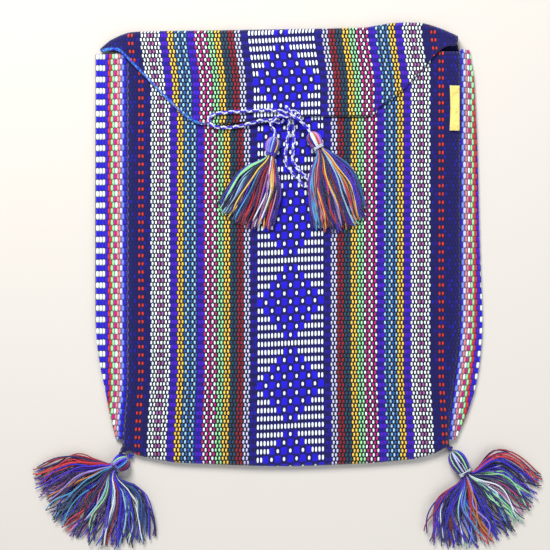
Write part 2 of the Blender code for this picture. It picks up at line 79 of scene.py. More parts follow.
# %% Node helpers
def node(tree, kind, values=(), **settings):
    """Adds a node, sets its settings, and fills its inputs with numbers, colours or outputs."""
    made = tree.nodes.new(kind)
    for name, value in settings.items():
        setattr(made, name, value)
    for key, value in dict(values).items():
        if isinstance(value, bpy.types.NodeSocket):
            tree.links.new(value, made.inputs[key])
        else:
            made.inputs[key].default_value = value
    return made


def sums(tree, operation, *values):
    return node(tree, "ShaderNodeMath", enumerate(values), operation=operation).outputs[0]


def smooth_between(tree, value, low, high):
    """0 at low, 1 at high, with soft ends. low may be the larger number."""
    steps = {"Value": value, "From Min": low, "From Max": high}
    return node(tree, "ShaderNodeMapRange", steps, interpolation_type="SMOOTHSTEP").outputs[0]


def mixed(tree, share, first, second, blend="MIX"):
    made = tree.nodes.new("ShaderNodeMix")
    made.data_type = "RGBA"
    made.blend_type = blend
    for socket, value in zip((made.inputs[0], made.inputs[6], made.inputs[7]), (share, first, second)):
        if isinstance(value, bpy.types.NodeSocket):
            tree.links.new(value, socket)
        else:
            socket.default_value = value
    return made.outputs[2]


def steps_ramp(tree, value, stops):
    """A colour ramp without blending: stops are (place from 0 to 1, colour)."""
    made = node(tree, "ShaderNodeValToRGB", {"Fac": value})
    ramp = made.color_ramp
    ramp.interpolation = "CONSTANT"
    ramp.elements[0].color = stops[0][1]
    ramp.elements.remove(ramp.elements[1])
    for place, colour in stops[1:]:
        ramp.elements.new(place).color = colour
    return made.outputs["Color"]


def new_group(name, inputs, outputs):
    """A shader node group. inputs and outputs are {name: socket kind}."""
    tree = bpy.data.node_groups.new(name, "ShaderNodeTree")
    for (label, kind) in inputs.items():
        tree.interface.new_socket(name=label, in_out="INPUT", socket_type="NodeSocket" + kind)
    for (label, kind) in outputs.items():
        tree.interface.new_socket(name=label, in_out="OUTPUT", socket_type="NodeSocket" + kind)
    return tree, tree.nodes.new("NodeGroupInput").outputs, tree.nodes.new("NodeGroupOutput").inputs


def use_group(tree, group, values):
    made = tree.nodes.new("ShaderNodeGroup")
    made.node_tree = group
    for key, value in values.items():
        if isinstance(value, bpy.types.NodeSocket):
            tree.links.new(value, made.inputs[key])
        else:
            made.inputs[key].default_value = value
    return made.outputs


def new_material(name, roughness, sheen):
    """A cloth material with its one Principled BSDF."""
    made = bpy.data.materials.new(name)
    made.use_nodes = True
    shader = made.node_tree.nodes["Principled BSDF"]
    shader.inputs["Roughness"].default_value = roughness
    shader.inputs["Sheen Weight"].default_value = sheen
    shader.inputs["Sheen Roughness"].default_value = 0.5
    shader.inputs["Specular IOR Level"].default_value = 0.25
    return made, made.node_tree, shader


def add_relief(tree, shader, height, distance, strength=1.0):
    """Feeds a height, from 0 to 1 over a distance in metres, to the shader's normal."""
    bump = node(tree, "ShaderNodeBump", {"Height": height, "Distance": distance, "Strength": strength})
    tree.links.new(bump.outputs["Normal"], shader.inputs["Normal"])

# %% [markdown]
# ## The dyes
#
# The yarns are bright synthetic-dyed threads. Each dye is named once, as it looks in daylight, and
# turned into the linear values that Blender wants. Cloth, bands, cord and tassels share them.

# %% Dye colours
DYES = {
    "black": (6, 4, 22),
    "navy": (10, 5, 92),
    "deep blue": (24, 8, 140),
    "blue": (26, 8, 205),
    "violet": (66, 12, 190),
    "purple": (92, 20, 150),
    "periwinkle": (104, 130, 232),
    "lavender": (196, 200, 244),
    "lilac": (150, 130, 225),
    "white": (232, 242, 250),
    "mint": (150, 226, 160),
    "yellow": (238, 196, 66),
    "orange": (205, 120, 45),
    "teal": (24, 70, 100),
    "sea blue": (28, 92, 170),
    "cyan": (70, 165, 225),
    "pale blue": (150, 200, 235),
    "magenta": (190, 16, 128),
    "pink": (214, 130, 190),
    "mauve": (158, 84, 158),
    "crimson": (150, 14, 42),
    "red": (205, 36, 50),
    "salmon": (208, 122, 128),
    "cream": (240, 222, 130),
}
DYE_NAMES = list(DYES)


def dye(name, shade=1.0):
    """A dye as linear red, green, blue and alpha."""
    linear = [((c / 255 + 0.055) / 1.055) ** 2.4 if c > 10 else c / 255 / 12.92 for c in DYES[name]]
    return (*[c * shade for c in linear], 1.0)


def dye_number(name):
    """A dye's place on the ramp that all dyes share."""
    return (DYE_NAMES.index(name) + 0.5) / len(DYE_NAMES)

# %% [markdown]
# ## Spun yarn
#
# Tassels, ties and cord are made of two-ply wool-like yarn. Each strand is a real tube, and the
# shader adds its spiral plies with painted shade in the grooves between them, fine fibres with a
# painted sheen, and a little uneven dye. The strand's mesh carries the sine and cosine of the place
# round it and the length along it, so the spiral has no seam.

# %% The spun yarn group and its material
def make_yarn_group():
    wanted = {"Colour": "Color", "Round": "Vector", "Ply length": "Float", "Fuzz sheen": "Float"}
    tree, given, out = new_group("spun yarn", wanted, {"Colour": "Color", "Height": "Float"})
    parts = node(tree, "ShaderNodeSeparateXYZ", {"Vector": given["Round"]}).outputs
    along = sums(tree, "DIVIDE", parts["Z"], given["Ply length"])
    turn = sums(tree, "MULTIPLY", along, 2 * math.pi)
    one = sums(tree, "MULTIPLY", parts["X"], sums(tree, "COSINE", turn))
    other = sums(tree, "MULTIPLY", parts["Y"], sums(tree, "SINE", turn))
    spiral = sums(tree, "ABSOLUTE", sums(tree, "ADD", one, other))
    ply = smooth_between(tree, spiral, 0.0, 0.62)
    place = node(tree, "ShaderNodeTexCoord").outputs["Object"]
    fibre = node(
        tree, "ShaderNodeTexNoise", {"Vector": place, "Scale": 2600.0, "Detail": 2.0, "Roughness": 0.6}
    ).outputs["Fac"]
    uneven = node(tree, "ShaderNodeTexNoise", {"Vector": place, "Scale": 150.0, "Detail": 1.0}).outputs["Fac"]
    # the grooves between the plies are darkened: painted shade; the noise multiplied in is uneven dye
    shade = sums(tree, "MULTIPLY_ADD", ply, 0.42, 0.58)
    shade = sums(tree, "MULTIPLY", shade, sums(tree, "MULTIPLY_ADD", uneven, 0.5, 0.75))
    grey = node(tree, "ShaderNodeCombineColor", {"Red": shade, "Green": shade, "Blue": shade}).outputs[0]
    coloured = mixed(tree, 1.0, given["Colour"], grey, "MULTIPLY")
    # pale lavender flecks on the loose fibres are a painted sheen
    light = sums(tree, "MULTIPLY", smooth_between(tree, fibre, 0.55, 0.8), given["Fuzz sheen"])
    lifted = mixed(tree, light, coloured, dye("lavender"))
    tree.links.new(lifted, out["Colour"])
    tree.links.new(sums(tree, "MULTIPLY_ADD", fibre, 0.35, ply), out["Height"])
    return tree


yarn_group = make_yarn_group()


def yarn_material(name, ply_length, fuzz_sheen):
    """Yarn whose dye is read from the mesh, one dye a strand."""
    made, tree, shader = new_material(name, 0.82, 0.35)
    number = node(tree, "ShaderNodeAttribute", attribute_name="dye").outputs["Fac"]
    stops = [(k / len(DYE_NAMES), dye(name)) for k, name in enumerate(DYE_NAMES)]
    colour = steps_ramp(tree, number, stops)
    place = node(tree, "ShaderNodeAttribute", attribute_name="round").outputs["Vector"]
    spun = use_group(
        tree, yarn_group, {"Colour": colour, "Round": place, "Ply length": ply_length, "Fuzz sheen": fuzz_sheen}
    )
    tree.links.new(spun["Colour"], shader.inputs["Base Color"])
    add_relief(tree, shader, spun["Height"], 0.25 * MM)
    return made


tassel_finish = yarn_material("tassel yarn", 2.6, 0.10)
cord_finish = yarn_material("cord braid", 3.2, 0.12)
tie_finish = yarn_material("tie thread", 1.6, 0.10)
print("yarn materials:", tassel_finish.name, cord_finish.name, tie_finish.name)

# %% [markdown]
# ## Strands as meshes
#
# A strand is a tube swept along a line. One bundle of many strands becomes one mesh, so a tassel
# with a hundred yarns is still one piece. The tube's ring is turned along the line without any
# twist of its own, and each strand stores its dye and its coordinates for the shader.

# %% The strand maker
def smooth_line(points, spacing):
    """Points about a spacing apart on a smooth curve through the given ones."""
    points = np.asarray(points, float)
    before = np.vstack([2 * points[0] - points[1], points[:-1]])[:-1]
    after = np.vstack([points[2:], 2 * points[-1] - points[-2]])
    line = []
    for p0, p1, p2, p3 in zip(before, points[:-1], points[1:], after):
        count = max(2, int(np.linalg.norm(p2 - p1) / spacing * 2))
        t = (np.arange(count) / count)[:, None]
        bend = (2 * p0 - 5 * p1 + 4 * p2 - p3) * t**2 + (3 * p1 - p0 - 3 * p2 + p3) * t**3
        line.append(0.5 * (2 * p1 + (p2 - p0) * t + bend))
    line = np.vstack([*line, points[-1:]])
    run = np.concatenate([[0], np.cumsum(np.linalg.norm(np.diff(line, axis=0), axis=1))])
    even = np.linspace(0, run[-1], max(3, int(run[-1] / spacing) + 1))
    return np.stack([np.interp(even, run, line[:, k]) for k in range(3)], 1)


def line_length(line):
    return float(np.linalg.norm(np.diff(line, axis=0), axis=1).sum())


def line_frames(line):
    """Two directions square to the line at each point, carried along it without twisting."""
    tangents = np.gradient(line, axis=0)
    tangents /= np.linalg.norm(tangents, axis=1)[:, None]
    side = np.cross(tangents[0], (0, 0, 1))
    if np.linalg.norm(side) < 0.1:
        side = np.cross(tangents[0], (0, 1, 0))
    sides = []
    for tangent in tangents:
        side = side - tangent * side.dot(tangent)
        side /= np.linalg.norm(side)
        sides.append(side)
    sides = np.array(sides)
    return sides, np.cross(sides, tangents)


class Strands:
    """Collects tubes and makes one mesh object of them."""

    def __init__(self, sides=6):
        self.sides = sides
        self.places, self.faces, self.rounds, self.dyes = [], [], [], []
        self.count = 0

    def add(self, line, radius, dye_name):
        line = np.asarray(line, float)
        radius = np.broadcast_to(radius, len(line))
        across, up = line_frames(line)
        turn = 2 * math.pi * np.arange(self.sides) / self.sides
        ring = np.cos(turn)[None, :, None] * across[:, None] + np.sin(turn)[None, :, None] * up[:, None]
        self.places.append((line[:, None] + ring * radius[:, None, None]).reshape(-1, 3))
        run = np.concatenate([[0], np.cumsum(np.linalg.norm(np.diff(line, axis=0), axis=1))]) / MM
        lengths = np.repeat(run, self.sides)
        turns = np.tile(turn, len(line))
        self.rounds.append(np.stack([np.cos(turns), np.sin(turns), lengths], 1))
        self.dyes.append(np.full(len(lengths), dye_number(dye_name)))
        base = self.count
        for k in range(len(line) - 1):
            for j in range(self.sides):
                n = (j + 1) % self.sides
                low = base + k * self.sides
                high = low + self.sides
                self.faces.append((low + j, low + n, high + n, high + j))
        last = base + (len(line) - 1) * self.sides
        self.faces.append(tuple(base + j for j in reversed(range(self.sides))))
        self.faces.append(tuple(last + j for j in range(self.sides)))
        self.count += len(line) * self.sides

    def finish(self, name, material, slot, replaced=()):
        """Makes the piece, rides it on the bag, and hides the CAD solids that it stands for."""
        mesh = bpy.data.meshes.new(name)
        mesh.from_pydata(np.vstack(self.places), [], self.faces)
        mesh.shade_smooth()
        rounds = mesh.attributes.new("round", "FLOAT_VECTOR", "POINT")
        rounds.data.foreach_set("vector", np.vstack(self.rounds).astype(np.float32).ravel())
        dyes = mesh.attributes.new("dye", "FLOAT", "POINT")
        dyes.data.foreach_set("value", np.concatenate(self.dyes).astype(np.float32))
        return placed(name, mesh, material, replaced)


def placed(name, mesh, material, replaced=()):
    mesh.materials.append(material)
    piece = bpy.data.objects.new(name, mesh)
    bpy.context.scene.collection.objects.link(piece)
    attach(piece, "root")
    if replaced:
        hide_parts(*replaced)
    print(name, "faces:", len(mesh.polygons))
    return piece

# %% [markdown]
# ## The drawcord
#
# The cord is a round braid of four strands, two pale and two violet-blue, about 3 mm thick. Two
# strands wind one way round it and two the other, each over one neighbour and under the next. Its
# route is the CAD cord's own, in millimetres: out from the flap, through the bow, to the tassel.
# Inside the tassel's head the cord runs on to the tie that holds it.

# %% The cord's routes
CORD_DIAMETER = 3.1 * MM
BRAID_TURN = 9.6 * MM

LEFT_CORD = [
    (-7.7, 99.0, 12.0), (-9.8, 97.1, 13.0), (-13.7, 97.8, 13.8), (-18.4, 98.8, 13.8),
    (-24.9, 98.7, 13.8), (-31.7, 97.1, 13.8), (-38.5, 95.3, 12.4), (-45.6, 93.9, 11.8),
    (-52.8, 93.4, 11.7), (-59.6, 93.7, 12.8), (-64.3, 95.4, 13.5), (-66.0, 98.8, 13.4),
    (-64.3, 102.2, 13.4), (-59.6, 104.1, 13.5), (-51.4, 105.0, 13.6), (-41.2, 105.7, 13.7),
    (-31.0, 106.2, 13.8), (-21.8, 106.6, 13.8), (-14.3, 106.2, 15.2), (-8.9, 105.4, 16.9),
    (-3.8, 104.9, 17.5), (0.8, 105.3, 17.4), (3.8, 104.2, 16.9), (4.0, 101.4, 16.8),
    (1.0, 100.3, 17.3), (-3.8, 101.2, 17.5), (-8.9, 101.7, 17.5), (-13.3, 100.9, 17.6),
    (-16.2, 98.0, 17.5), (-17.6, 94.6, 15.7), (-14.5, 88.5, 16.0), (-15.2, 85.2, 16.0),
    (-17.9, 72.5, 16.0), (-18.6, 69.5, 16.0),
]
RIGHT_CORD = [
    (-0.6, 99.4, 12.0), (-0.6, 96.5, 12.0), (-0.4, 92.2, 12.0), (-0.1, 86.1, 12.0),
    (-0.2, 79.6, 12.0), (-0.9, 72.8, 12.0), (-0.2, 66.0, 12.0), (4.2, 59.9, 12.0),
    (9.1, 54.8, 12.0), (12.3, 50.6, 12.0), (11.7, 47.2, 12.0), (8.4, 47.3, 12.0),
    (4.7, 51.4, 12.0), (0.3, 56.5, 12.0), (-4.5, 62.0, 12.0), (-6.5, 67.7, 12.0),
    (-6.3, 74.9, 12.0), (-5.3, 81.7, 12.0), (-4.5, 88.1, 12.0), (-4.1, 93.2, 12.0),
    (-4.0, 97.7, 13.7), (-4.1, 101.4, 13.9), (-4.8, 104.8, 13.9), (-5.5, 107.7, 14.9),
    (-5.8, 108.7, 17.2), (-5.3, 107.9, 20.0), (-3.8, 105.0, 21.3), (-1.3, 102.1, 21.3),
    (2.0, 99.5, 21.2), (4.9, 97.5, 19.8), (7.4, 95.6, 18.1), (11.1, 91.5, 17.9),
    (12.8, 88.5, 18.0), (18.8, 77.6, 18.0), (20.5, 74.6, 18.0),
]

# %% Braid the cord
def braid(name, route, replaced):
    line = smooth_line(np.array(route) * MM, 0.45 * MM)
    across, up = line_frames(line)
    run = np.concatenate([[0], np.cumsum(np.linalg.norm(np.diff(line, axis=0), axis=1))])
    turn = 2 * math.pi * run / BRAID_TURN
    strand = 0.19 * CORD_DIAMETER
    middle = 0.24 * CORD_DIAMETER
    weave = 0.07 * CORD_DIAMETER * np.sin(2 * turn)
    strands = Strands(sides=8)
    for way, start, dye_name in (
        (1, 0, "white"),
        (1, math.pi, "blue"),
        (-1, math.pi / 2, "lavender"),
        (-1, 3 * math.pi / 2, "violet"),
    ):
        angle = way * turn + start
        off = (middle + way * weave)[:, None]
        around = np.cos(angle)[:, None] * across + np.sin(angle)[:, None] * up
        strands.add(line + off * around, strand, dye_name)
    strands.add(line, 0.17 * CORD_DIAMETER, "blue")
    piece = strands.finish(name, cord_finish, "cord_braid", [replaced])
    return piece, line


left_cord, left_cord_line = braid("drawcord_left_braid", LEFT_CORD, "drawcord_left")
right_cord, right_cord_line = braid("drawcord_right_braid", RIGHT_CORD, "drawcord_right")
print("cord lengths:", [round(line_length(line), 4) for line in (left_cord_line, right_cord_line)])

# %% [markdown]
# ## Where the cloth lies
#
# The bag's cloth is one strip. These functions say where its middle is: the side seams, the low
# crown of air in the front, the flap on the front, and the two folds. They follow the CAD model's
# sizes, because everything that lies on the bag has to find its surface there.

# %% The bag's sizes
SEAM_GAP = 0.5 * MM
PANEL_WIDTH = 260.5 * MM
BAG_LENGTH = 342.5 * MM
TOP_FOLD_Y = BAG_LENGTH / 2
BOTTOM_FOLD_Y = -BAG_LENGTH / 2
MOUTH_Y = TOP_FOLD_Y - 18 * MM
CLOTH = 1.6 * MM
GAP = 0.3 * MM
FLAP_EAR = 21.5 * MM
FLAP_LIP_Y = TOP_FOLD_Y - 69 * MM

TOP_FOLD_OUTLINE = [
    (0.0, -14.5), (0.03, -8.0), (0.08, -2.5), (0.16, -1.3), (0.5, 0.0),
    (0.74, 1.5), (0.82, 5.0), (0.9, 5.0), (0.95, 1.0), (1.0, -5.0),
]
BOTTOM_FOLD_OUTLINE = [
    (0.0, 14.0), (0.05, 8.0), (0.15, 3.0), (0.3, 1.0), (0.5, -0.3),
    (0.75, 2.0), (0.9, 5.5), (0.96, 10.0), (1.0, 16.0),
]
FLAP_HEM = [
    (0.0, -150.8, 153.6), (0.05, -138.2, 153.8), (0.1, -128.3, 145.3), (0.24, -97.0, 113.3),
    (0.3, -81.0, 99.3), (0.35, -66.0, 95.3), (0.47, -34.0, 98.8), (0.6, 5.0, 101.9),
    (0.74, 57.0, 102.6), (0.79, 66.0, 109.3), (0.86, 85.0, 123.3), (0.95, 114.3, 154.3),
    (1.0, 126.8, 158.3),
]

# %% The cloth's place
def ease(t):
    """0 to 1 with a soft start and end."""
    t = min(1.0, max(0.0, t))
    return t * t * (3 - 2 * t)


def profile(stops, t):
    """The values at t on a smooth curve through stops, each (t, value, ...)."""
    t = min(stops[-1][0], max(stops[0][0], t))
    k = 0
    while k < len(stops) - 2 and stops[k + 1][0] < t:
        k += 1
    share = (t - stops[k][0]) / (stops[k + 1][0] - stops[k][0])
    values = [np.array(stop[1:]) for stop in stops]
    p1, p2 = values[k], values[k + 1]
    p0 = values[k - 1] if k > 0 else 2 * p1 - p2
    p3 = values[k + 2] if k + 2 < len(stops) else 2 * p2 - p1
    bend = (2 * p0 - 5 * p1 + 4 * p2 - p3) * share**2 + (3 * p1 - p0 - 3 * p2 + p3) * share**3
    return 0.5 * (2 * p1 + (p2 - p0) * share + bend)


def seam_x(side, y):
    height = (y - BOTTOM_FOLD_Y) / MM
    if side < 0:
        return -PANEL_WIDTH / 2 - 4 * MM * ease((70 - height) / 58)
    return PANEL_WIDTH / 2 - 9 * MM * ease((120 - height) / 108)


def across(u, y):
    return seam_x(-1, y) + (seam_x(1, y) - seam_x(-1, y)) * u


def seam_height(y):
    return 7.6 * MM - 1.6 * MM * ease((BOTTOM_FOLD_Y + 64 * MM - y) / (52 * MM))


def front_height(x, y):
    aside = x / (PANEL_WIDTH / 2)
    lengthwise = y / (BAG_LENGTH / 2)
    return seam_height(y) + 1.8 * MM * max(0.0, 1 - aside**2) * max(0.0, 1 - lengthwise**6)


def front_top(x, y):
    return front_height(x, y) + CLOTH / 2


def flap_height(x, y):
    past_seam = max(0.0, abs(x) - PANEL_WIDTH / 2)
    return front_height(x, y) + CLOTH + GAP - 6 * MM * (past_seam / FLAP_EAR) ** 2


def top_fold_edge(u):
    left = seam_x(-1, TOP_FOLD_Y) - FLAP_EAR
    right = seam_x(1, TOP_FOLD_Y) - 2 * MM
    return left + (right - left) * u, TOP_FOLD_Y + profile(TOP_FOLD_OUTLINE, u)[0] * MM


def bottom_fold_edge(u):
    y = BOTTOM_FOLD_Y + profile(BOTTOM_FOLD_OUTLINE, u)[0] * MM
    return across(u, y), y


def fold_arc(edge_x, edge_y, inward, low, high, steps):
    """The cloth's middle round a fold whose outside reaches the edge, from high to low."""
    radius = (high - low) / 2
    turn = np.linspace(0, math.pi, steps + 1)
    y = edge_y + inward * (radius + CLOTH / 2 - radius * np.sin(turn))
    return np.stack([np.full(steps + 1, edge_x), y, (low + high) / 2 + radius * np.cos(turn)], 1)

# %% [markdown]
# ## The woven cloth's coordinates
#
# On the real cloth the warp runs down the bag in columns about 2.6 mm wide, and every thread shows
# as a short upright float about 3.2 mm long. If each point of the mesh knows its column and its row
# of floats, one shader can weave the whole strip, round both folds and over the flap. The middle
# of the pattern is column 0, and row 0 is one waist of the brocaded diamonds on the front.

# %% Columns and rows on the cloth
COLUMN = 2.605 * MM
ROW = 3.237 * MM
PATTERN_MIDDLE_X = -2.66 * MM
FRONT_WAIST_Y = 55.0 * MM
FLAP_WAIST_Y = 162.0 * MM
FLAP_WAIST_ROW = 180
FLAP_COLUMN = 2.63 * MM
FLAP_ROW = 3.205 * MM


def front_column(x, y):
    """The column at a place on the front or the back. The stripes drift outwards at the foot."""
    height = (y - BOTTOM_FOLD_Y) / MM
    share = max(-1.0, min(1.0, x / (106 * MM)))
    drift = 3.2 * MM * share * ease((80 - height) / 70)
    return (x - PATTERN_MIDDLE_X - drift) / COLUMN


def flap_column(x, y):
    middle = -5.4 * MM - 5.0 * MM * ease((y - 122 * MM) / (52 * MM))
    return (x - middle) / FLAP_COLUMN


def lean(column):
    """The rows stand a little higher on the right of the brocade than on its left."""
    return 0.42 * math.sin(max(-1.0, min(1.0, column / 14)) * math.pi / 2)


def front_row(x, y):
    return (FRONT_WAIST_Y - y) / ROW + lean(front_column(x, y))


def flap_row(x, y):
    return FLAP_WAIST_ROW + (FLAP_WAIST_Y - y) / FLAP_ROW + lean(flap_column(x, y))

# %% [markdown]
# ## The body cloth
#
# The body could be a box with a picture of stripes, but cloth shows its softness at its edges: a
# valley along each side seam, a rolled hem, slow waves across the panels. So the strip is lofted
# column by column, its middle is pushed about by those effects, and it gets its thickness last.

# %% Loft the body strip
COLUMNS_ACROSS = 104
FRONT_ROWS, TURN_ROWS, BACK_ROWS, FLAP_ROWS = 118, 9, 56, 30
SEAM_VALLEY = 1.9 * MM
SEAM_VALLEY_WIDTH = 4.5 * MM


def ripple(x, y, size, seed):
    """A slow, even wave that is the same each run, from -1 to 1."""
    return noise.noise(Vector((x / size, y / size, seed)))


def body_strip(u):
    """The cloth's middle down one column, with its woven column and row, and its hem distance."""
    bottom_x, bottom_y = bottom_fold_edge(u)
    bottom = fold_arc(bottom_x, bottom_y, 1, CLOTH / 2, front_height(bottom_x, bottom_y), TURN_ROWS)
    top_x, top_y = top_fold_edge(u)
    fold_high = 0.86 * flap_height(top_x, top_y)
    top = fold_arc(top_x, top_y, -1, CLOTH / 2, fold_high, TURN_ROWS)[::-1]
    places = []
    for k in range(FRONT_ROWS):
        y = MOUTH_Y + (bottom[0][1] - MOUTH_Y) * k / FRONT_ROWS
        x = across(u, y)
        places.append((x, y, front_height(x, y)))
    places.extend(bottom)
    for k in range(1, BACK_ROWS + 1):
        y = bottom[-1][1] + (MOUTH_Y + 1 * MM - bottom[-1][1]) * k / BACK_ROWS
        places.append((across(u, y), y, CLOTH / 2))
    places.extend(top)
    hem_x, hem_y = profile(FLAP_HEM, u) * MM
    start_x, start_y = top[-1][0], top[-1][1]
    for k in range(1, FLAP_ROWS + 1):
        x = start_x + (hem_x - start_x) * k / FLAP_ROWS
        y = start_y + (hem_y - start_y) * k / FLAP_ROWS
        settled = ease((start_y - y) / (start_y - MOUTH_Y))
        places.append((x, y, fold_high + (flap_height(x, y) - fold_high) * settled))
    return np.array(places, float)


def weave_coordinates(places):
    """Column and row numbers of one strip column. The back's rows join the front's to the flap's."""
    front_end = FRONT_ROWS
    flap_start = len(places) - FLAP_ROWS - 1
    columns = [front_column(x, y) for x, y, _ in places]
    rows = [front_row(x, y) for x, y, _ in places[: front_end + 1]]
    run = np.concatenate([[0], np.cumsum(np.linalg.norm(np.diff(places, axis=0), axis=1))])
    flap_rows = [flap_row(x, y) for x, y, _ in places[flap_start:]]
    share = (run[front_end + 1 : flap_start] - run[front_end]) / (run[flap_start] - run[front_end])
    rows.extend(rows[-1] + (flap_rows[0] - rows[-1]) * share)
    rows.extend(flap_rows)
    for k in range(flap_start, len(places)):
        columns[k] = flap_column(places[k][0], places[k][1])
    fade = range(flap_start - TURN_ROWS - 4, flap_start)
    for n, k in enumerate(fade):
        kept = ease((n + 1) / (len(fade) + 1))
        columns[k] += (flap_column(places[k][0], places[k][1]) - columns[k]) * kept
    return columns, rows


def settle_body(strip, u):
    """Adds the seam valleys, the slow waves and the thicker rolled hem."""
    flap_start = len(strip) - FLAP_ROWS - 1
    hem = []
    for k, (x, y, z) in enumerate(strip):
        from_seam = min(x - seam_x(-1, y), seam_x(1, y) - x)
        on_flap = k > flap_start
        hem_distance = np.hypot(*(strip[k][:2] - strip[-1][:2])) if on_flap else 1.0
        hem.append(min(hem_distance / MM, 30.0))
        if k < FRONT_ROWS + 4:
            fades = 1 - ease((BOTTOM_FOLD_Y + 12 * MM - y) / (12 * MM))
            dip = SEAM_VALLEY * (1 - ease(from_seam / SEAM_VALLEY_WIDTH)) * fades
            wave = 0.28 * MM * ripple(x, y, 60 * MM, 3.1) + 0.12 * MM * ripple(x, y, 17 * MM, 8.7)
            under_flap = ease((MOUTH_Y - y) / (20 * MM))
            strip[k][2] = z - dip + wave * under_flap * (1 if from_seam > 0 else 0)
        elif on_flap:
            roll = 0.45 * MM * math.exp(-((hem_distance / (2.6 * MM)) ** 2))
            wave = 0.25 * MM * ripple(x, y, 45 * MM, 5.5) * ease(hem_distance / (8 * MM))
            strip[k][2] = z + roll + abs(wave)
    return hem

# %% Make the body cloth
def sheet_mesh(name, strips, layers):
    """A mesh lofted through strips of points. layers are {attribute name: values a point}."""
    rows = len(strips[0])
    faces = []
    for c in range(len(strips) - 1):
        for k in range(rows - 1):
            a = c * rows + k
            faces.append((a, a + 1, a + rows + 1, a + rows))
    mesh = bpy.data.meshes.new(name)
    mesh.from_pydata(np.vstack(strips), [], faces)
    mesh.shade_smooth()
    for label, values in layers.items():
        layer = mesh.attributes.new(label, "FLOAT_VECTOR", "POINT")
        layer.data.foreach_set("vector", np.asarray(values, np.float32).ravel())
    return mesh


def thicken(piece, thickness):
    """Gives a sheet its thickness and keeps the result as its mesh."""
    solid = piece.modifiers.new("thickness", "SOLIDIFY")
    solid.thickness = thickness
    solid.offset = 0
    solid.use_even_offset = True
    shown = piece.evaluated_get(bpy.context.evaluated_depsgraph_get())
    mesh = bpy.data.meshes.new_from_object(shown)
    mesh.name = piece.data.name
    piece.modifiers.clear()
    piece.data = mesh
    print(piece.name, "triangles:", sum(len(face.vertices) - 2 for face in mesh.polygons))


strips, woven = [], []
for c in range(COLUMNS_ACROSS + 1):
    strip = body_strip(c / COLUMNS_ACROSS)
    column_numbers, row_numbers = weave_coordinates(strip)
    hem_distances = settle_body(strip, c / COLUMNS_ACROSS)
    strips.append(strip)
    woven.extend(zip(column_numbers, row_numbers, hem_distances))
body_mesh = sheet_mesh("bag_cloth", strips, {"woven": woven})

# %% [markdown]
# ## The weave
#
# Both cloths of this bag are warp-faced: short upright floats in rows, and each second row stands
# a third of a column aside. The group takes the column and row at a point and gives the float's
# mask, its crown for the relief, the number of its column and whether its row is even. The
# patterns then only choose a colour for each float.

# %% The woven floats group
def make_float_group():
    wanted = dict.fromkeys(("Column", "Row", "Aside", "Width", "Length", "Uneven"), "Float")
    given_out = dict.fromkeys(("Mask", "Crown", "Column number", "Odd row", "Chance"), "Float")
    tree, given, out = new_group("woven floats", wanted, given_out)
    spot = node(tree, "ShaderNodeCombineXYZ", {"X": given["Column"], "Y": given["Row"]}).outputs[0]
    wobble = node(tree, "ShaderNodeTexNoise", {"Vector": spot, "Scale": 0.9, "Detail": 1.0}).outputs["Color"]
    parts = node(tree, "ShaderNodeSeparateColor", {"Color": wobble}).outputs
    swing = sums(tree, "MULTIPLY", sums(tree, "SUBTRACT", parts["Red"], 0.5), given["Uneven"])
    slip = sums(tree, "MULTIPLY", sums(tree, "SUBTRACT", parts["Green"], 0.5), given["Uneven"])
    row = sums(tree, "ADD", given["Row"], slip)
    row_number = sums(tree, "FLOOR", row)
    odd = sums(tree, "FLOORED_MODULO", row_number, 2.0)
    aside = sums(tree, "MULTIPLY", sums(tree, "SUBTRACT", odd, 0.5), given["Aside"])
    column = sums(tree, "ADD", sums(tree, "ADD", given["Column"], swing), aside)
    column_number = sums(tree, "FLOOR", column)
    from_side = sums(tree, "ABSOLUTE", sums(tree, "SUBTRACT", sums(tree, "FRACT", column), 0.5))
    from_end = sums(tree, "ABSOLUTE", sums(tree, "SUBTRACT", sums(tree, "FRACT", row), 0.5))
    wide = sums(tree, "POWER", sums(tree, "DIVIDE", from_side, given["Width"]), 2.6)
    tall = sums(tree, "POWER", sums(tree, "DIVIDE", from_end, given["Length"]), 3.2)
    off = sums(tree, "ADD", wide, tall)
    tree.links.new(smooth_between(tree, off, 1.25, 0.65), out["Mask"])
    tree.links.new(smooth_between(tree, off, 1.5, 0.0), out["Crown"])
    tree.links.new(column_number, out["Column number"])
    tree.links.new(odd, out["Odd row"])
    cell = node(tree, "ShaderNodeCombineXYZ", {"X": column_number, "Y": row_number}).outputs[0]
    chance = node(tree, "ShaderNodeTexWhiteNoise", {"Vector": cell}, noise_dimensions="3D").outputs["Value"]
    tree.links.new(chance, out["Chance"])
    return tree


float_group = make_float_group()

# %% [markdown]
# ## Fine thread
#
# Seen close, every float is a few fine threads side by side, a little hairy and unevenly dyed. One
# small group gives a shade and a height for that, and each cloth uses it with its own strength.

# %% The fine thread group
def make_thread_group():
    wanted = dict.fromkeys(("Column", "Row", "Strength"), "Float")
    tree, given, out = new_group("fine thread", wanted, {"Shade": "Float", "Height": "Float"})
    wide = sums(tree, "MULTIPLY", given["Column"], 7.0)
    tall = sums(tree, "MULTIPLY", given["Row"], 1.6)
    spot = node(tree, "ShaderNodeCombineXYZ", {"X": wide, "Y": tall}).outputs[0]
    hairs = node(tree, "ShaderNodeTexNoise", {"Vector": spot, "Scale": 1.3, "Detail": 3.0}).outputs["Fac"]
    place = node(tree, "ShaderNodeTexCoord").outputs["Object"]
    worn = node(tree, "ShaderNodeTexNoise", {"Vector": place, "Scale": 38.0, "Detail": 2.0}).outputs["Fac"]
    both = sums(tree, "ADD", sums(tree, "SUBTRACT", hairs, 0.5), sums(tree, "MULTIPLY_ADD", worn, 0.5, -0.25))
    tree.links.new(sums(tree, "MULTIPLY_ADD", both, given["Strength"], 1.0), out["Shade"])
    tree.links.new(hairs, out["Height"])
    return tree


thread_group = make_thread_group()
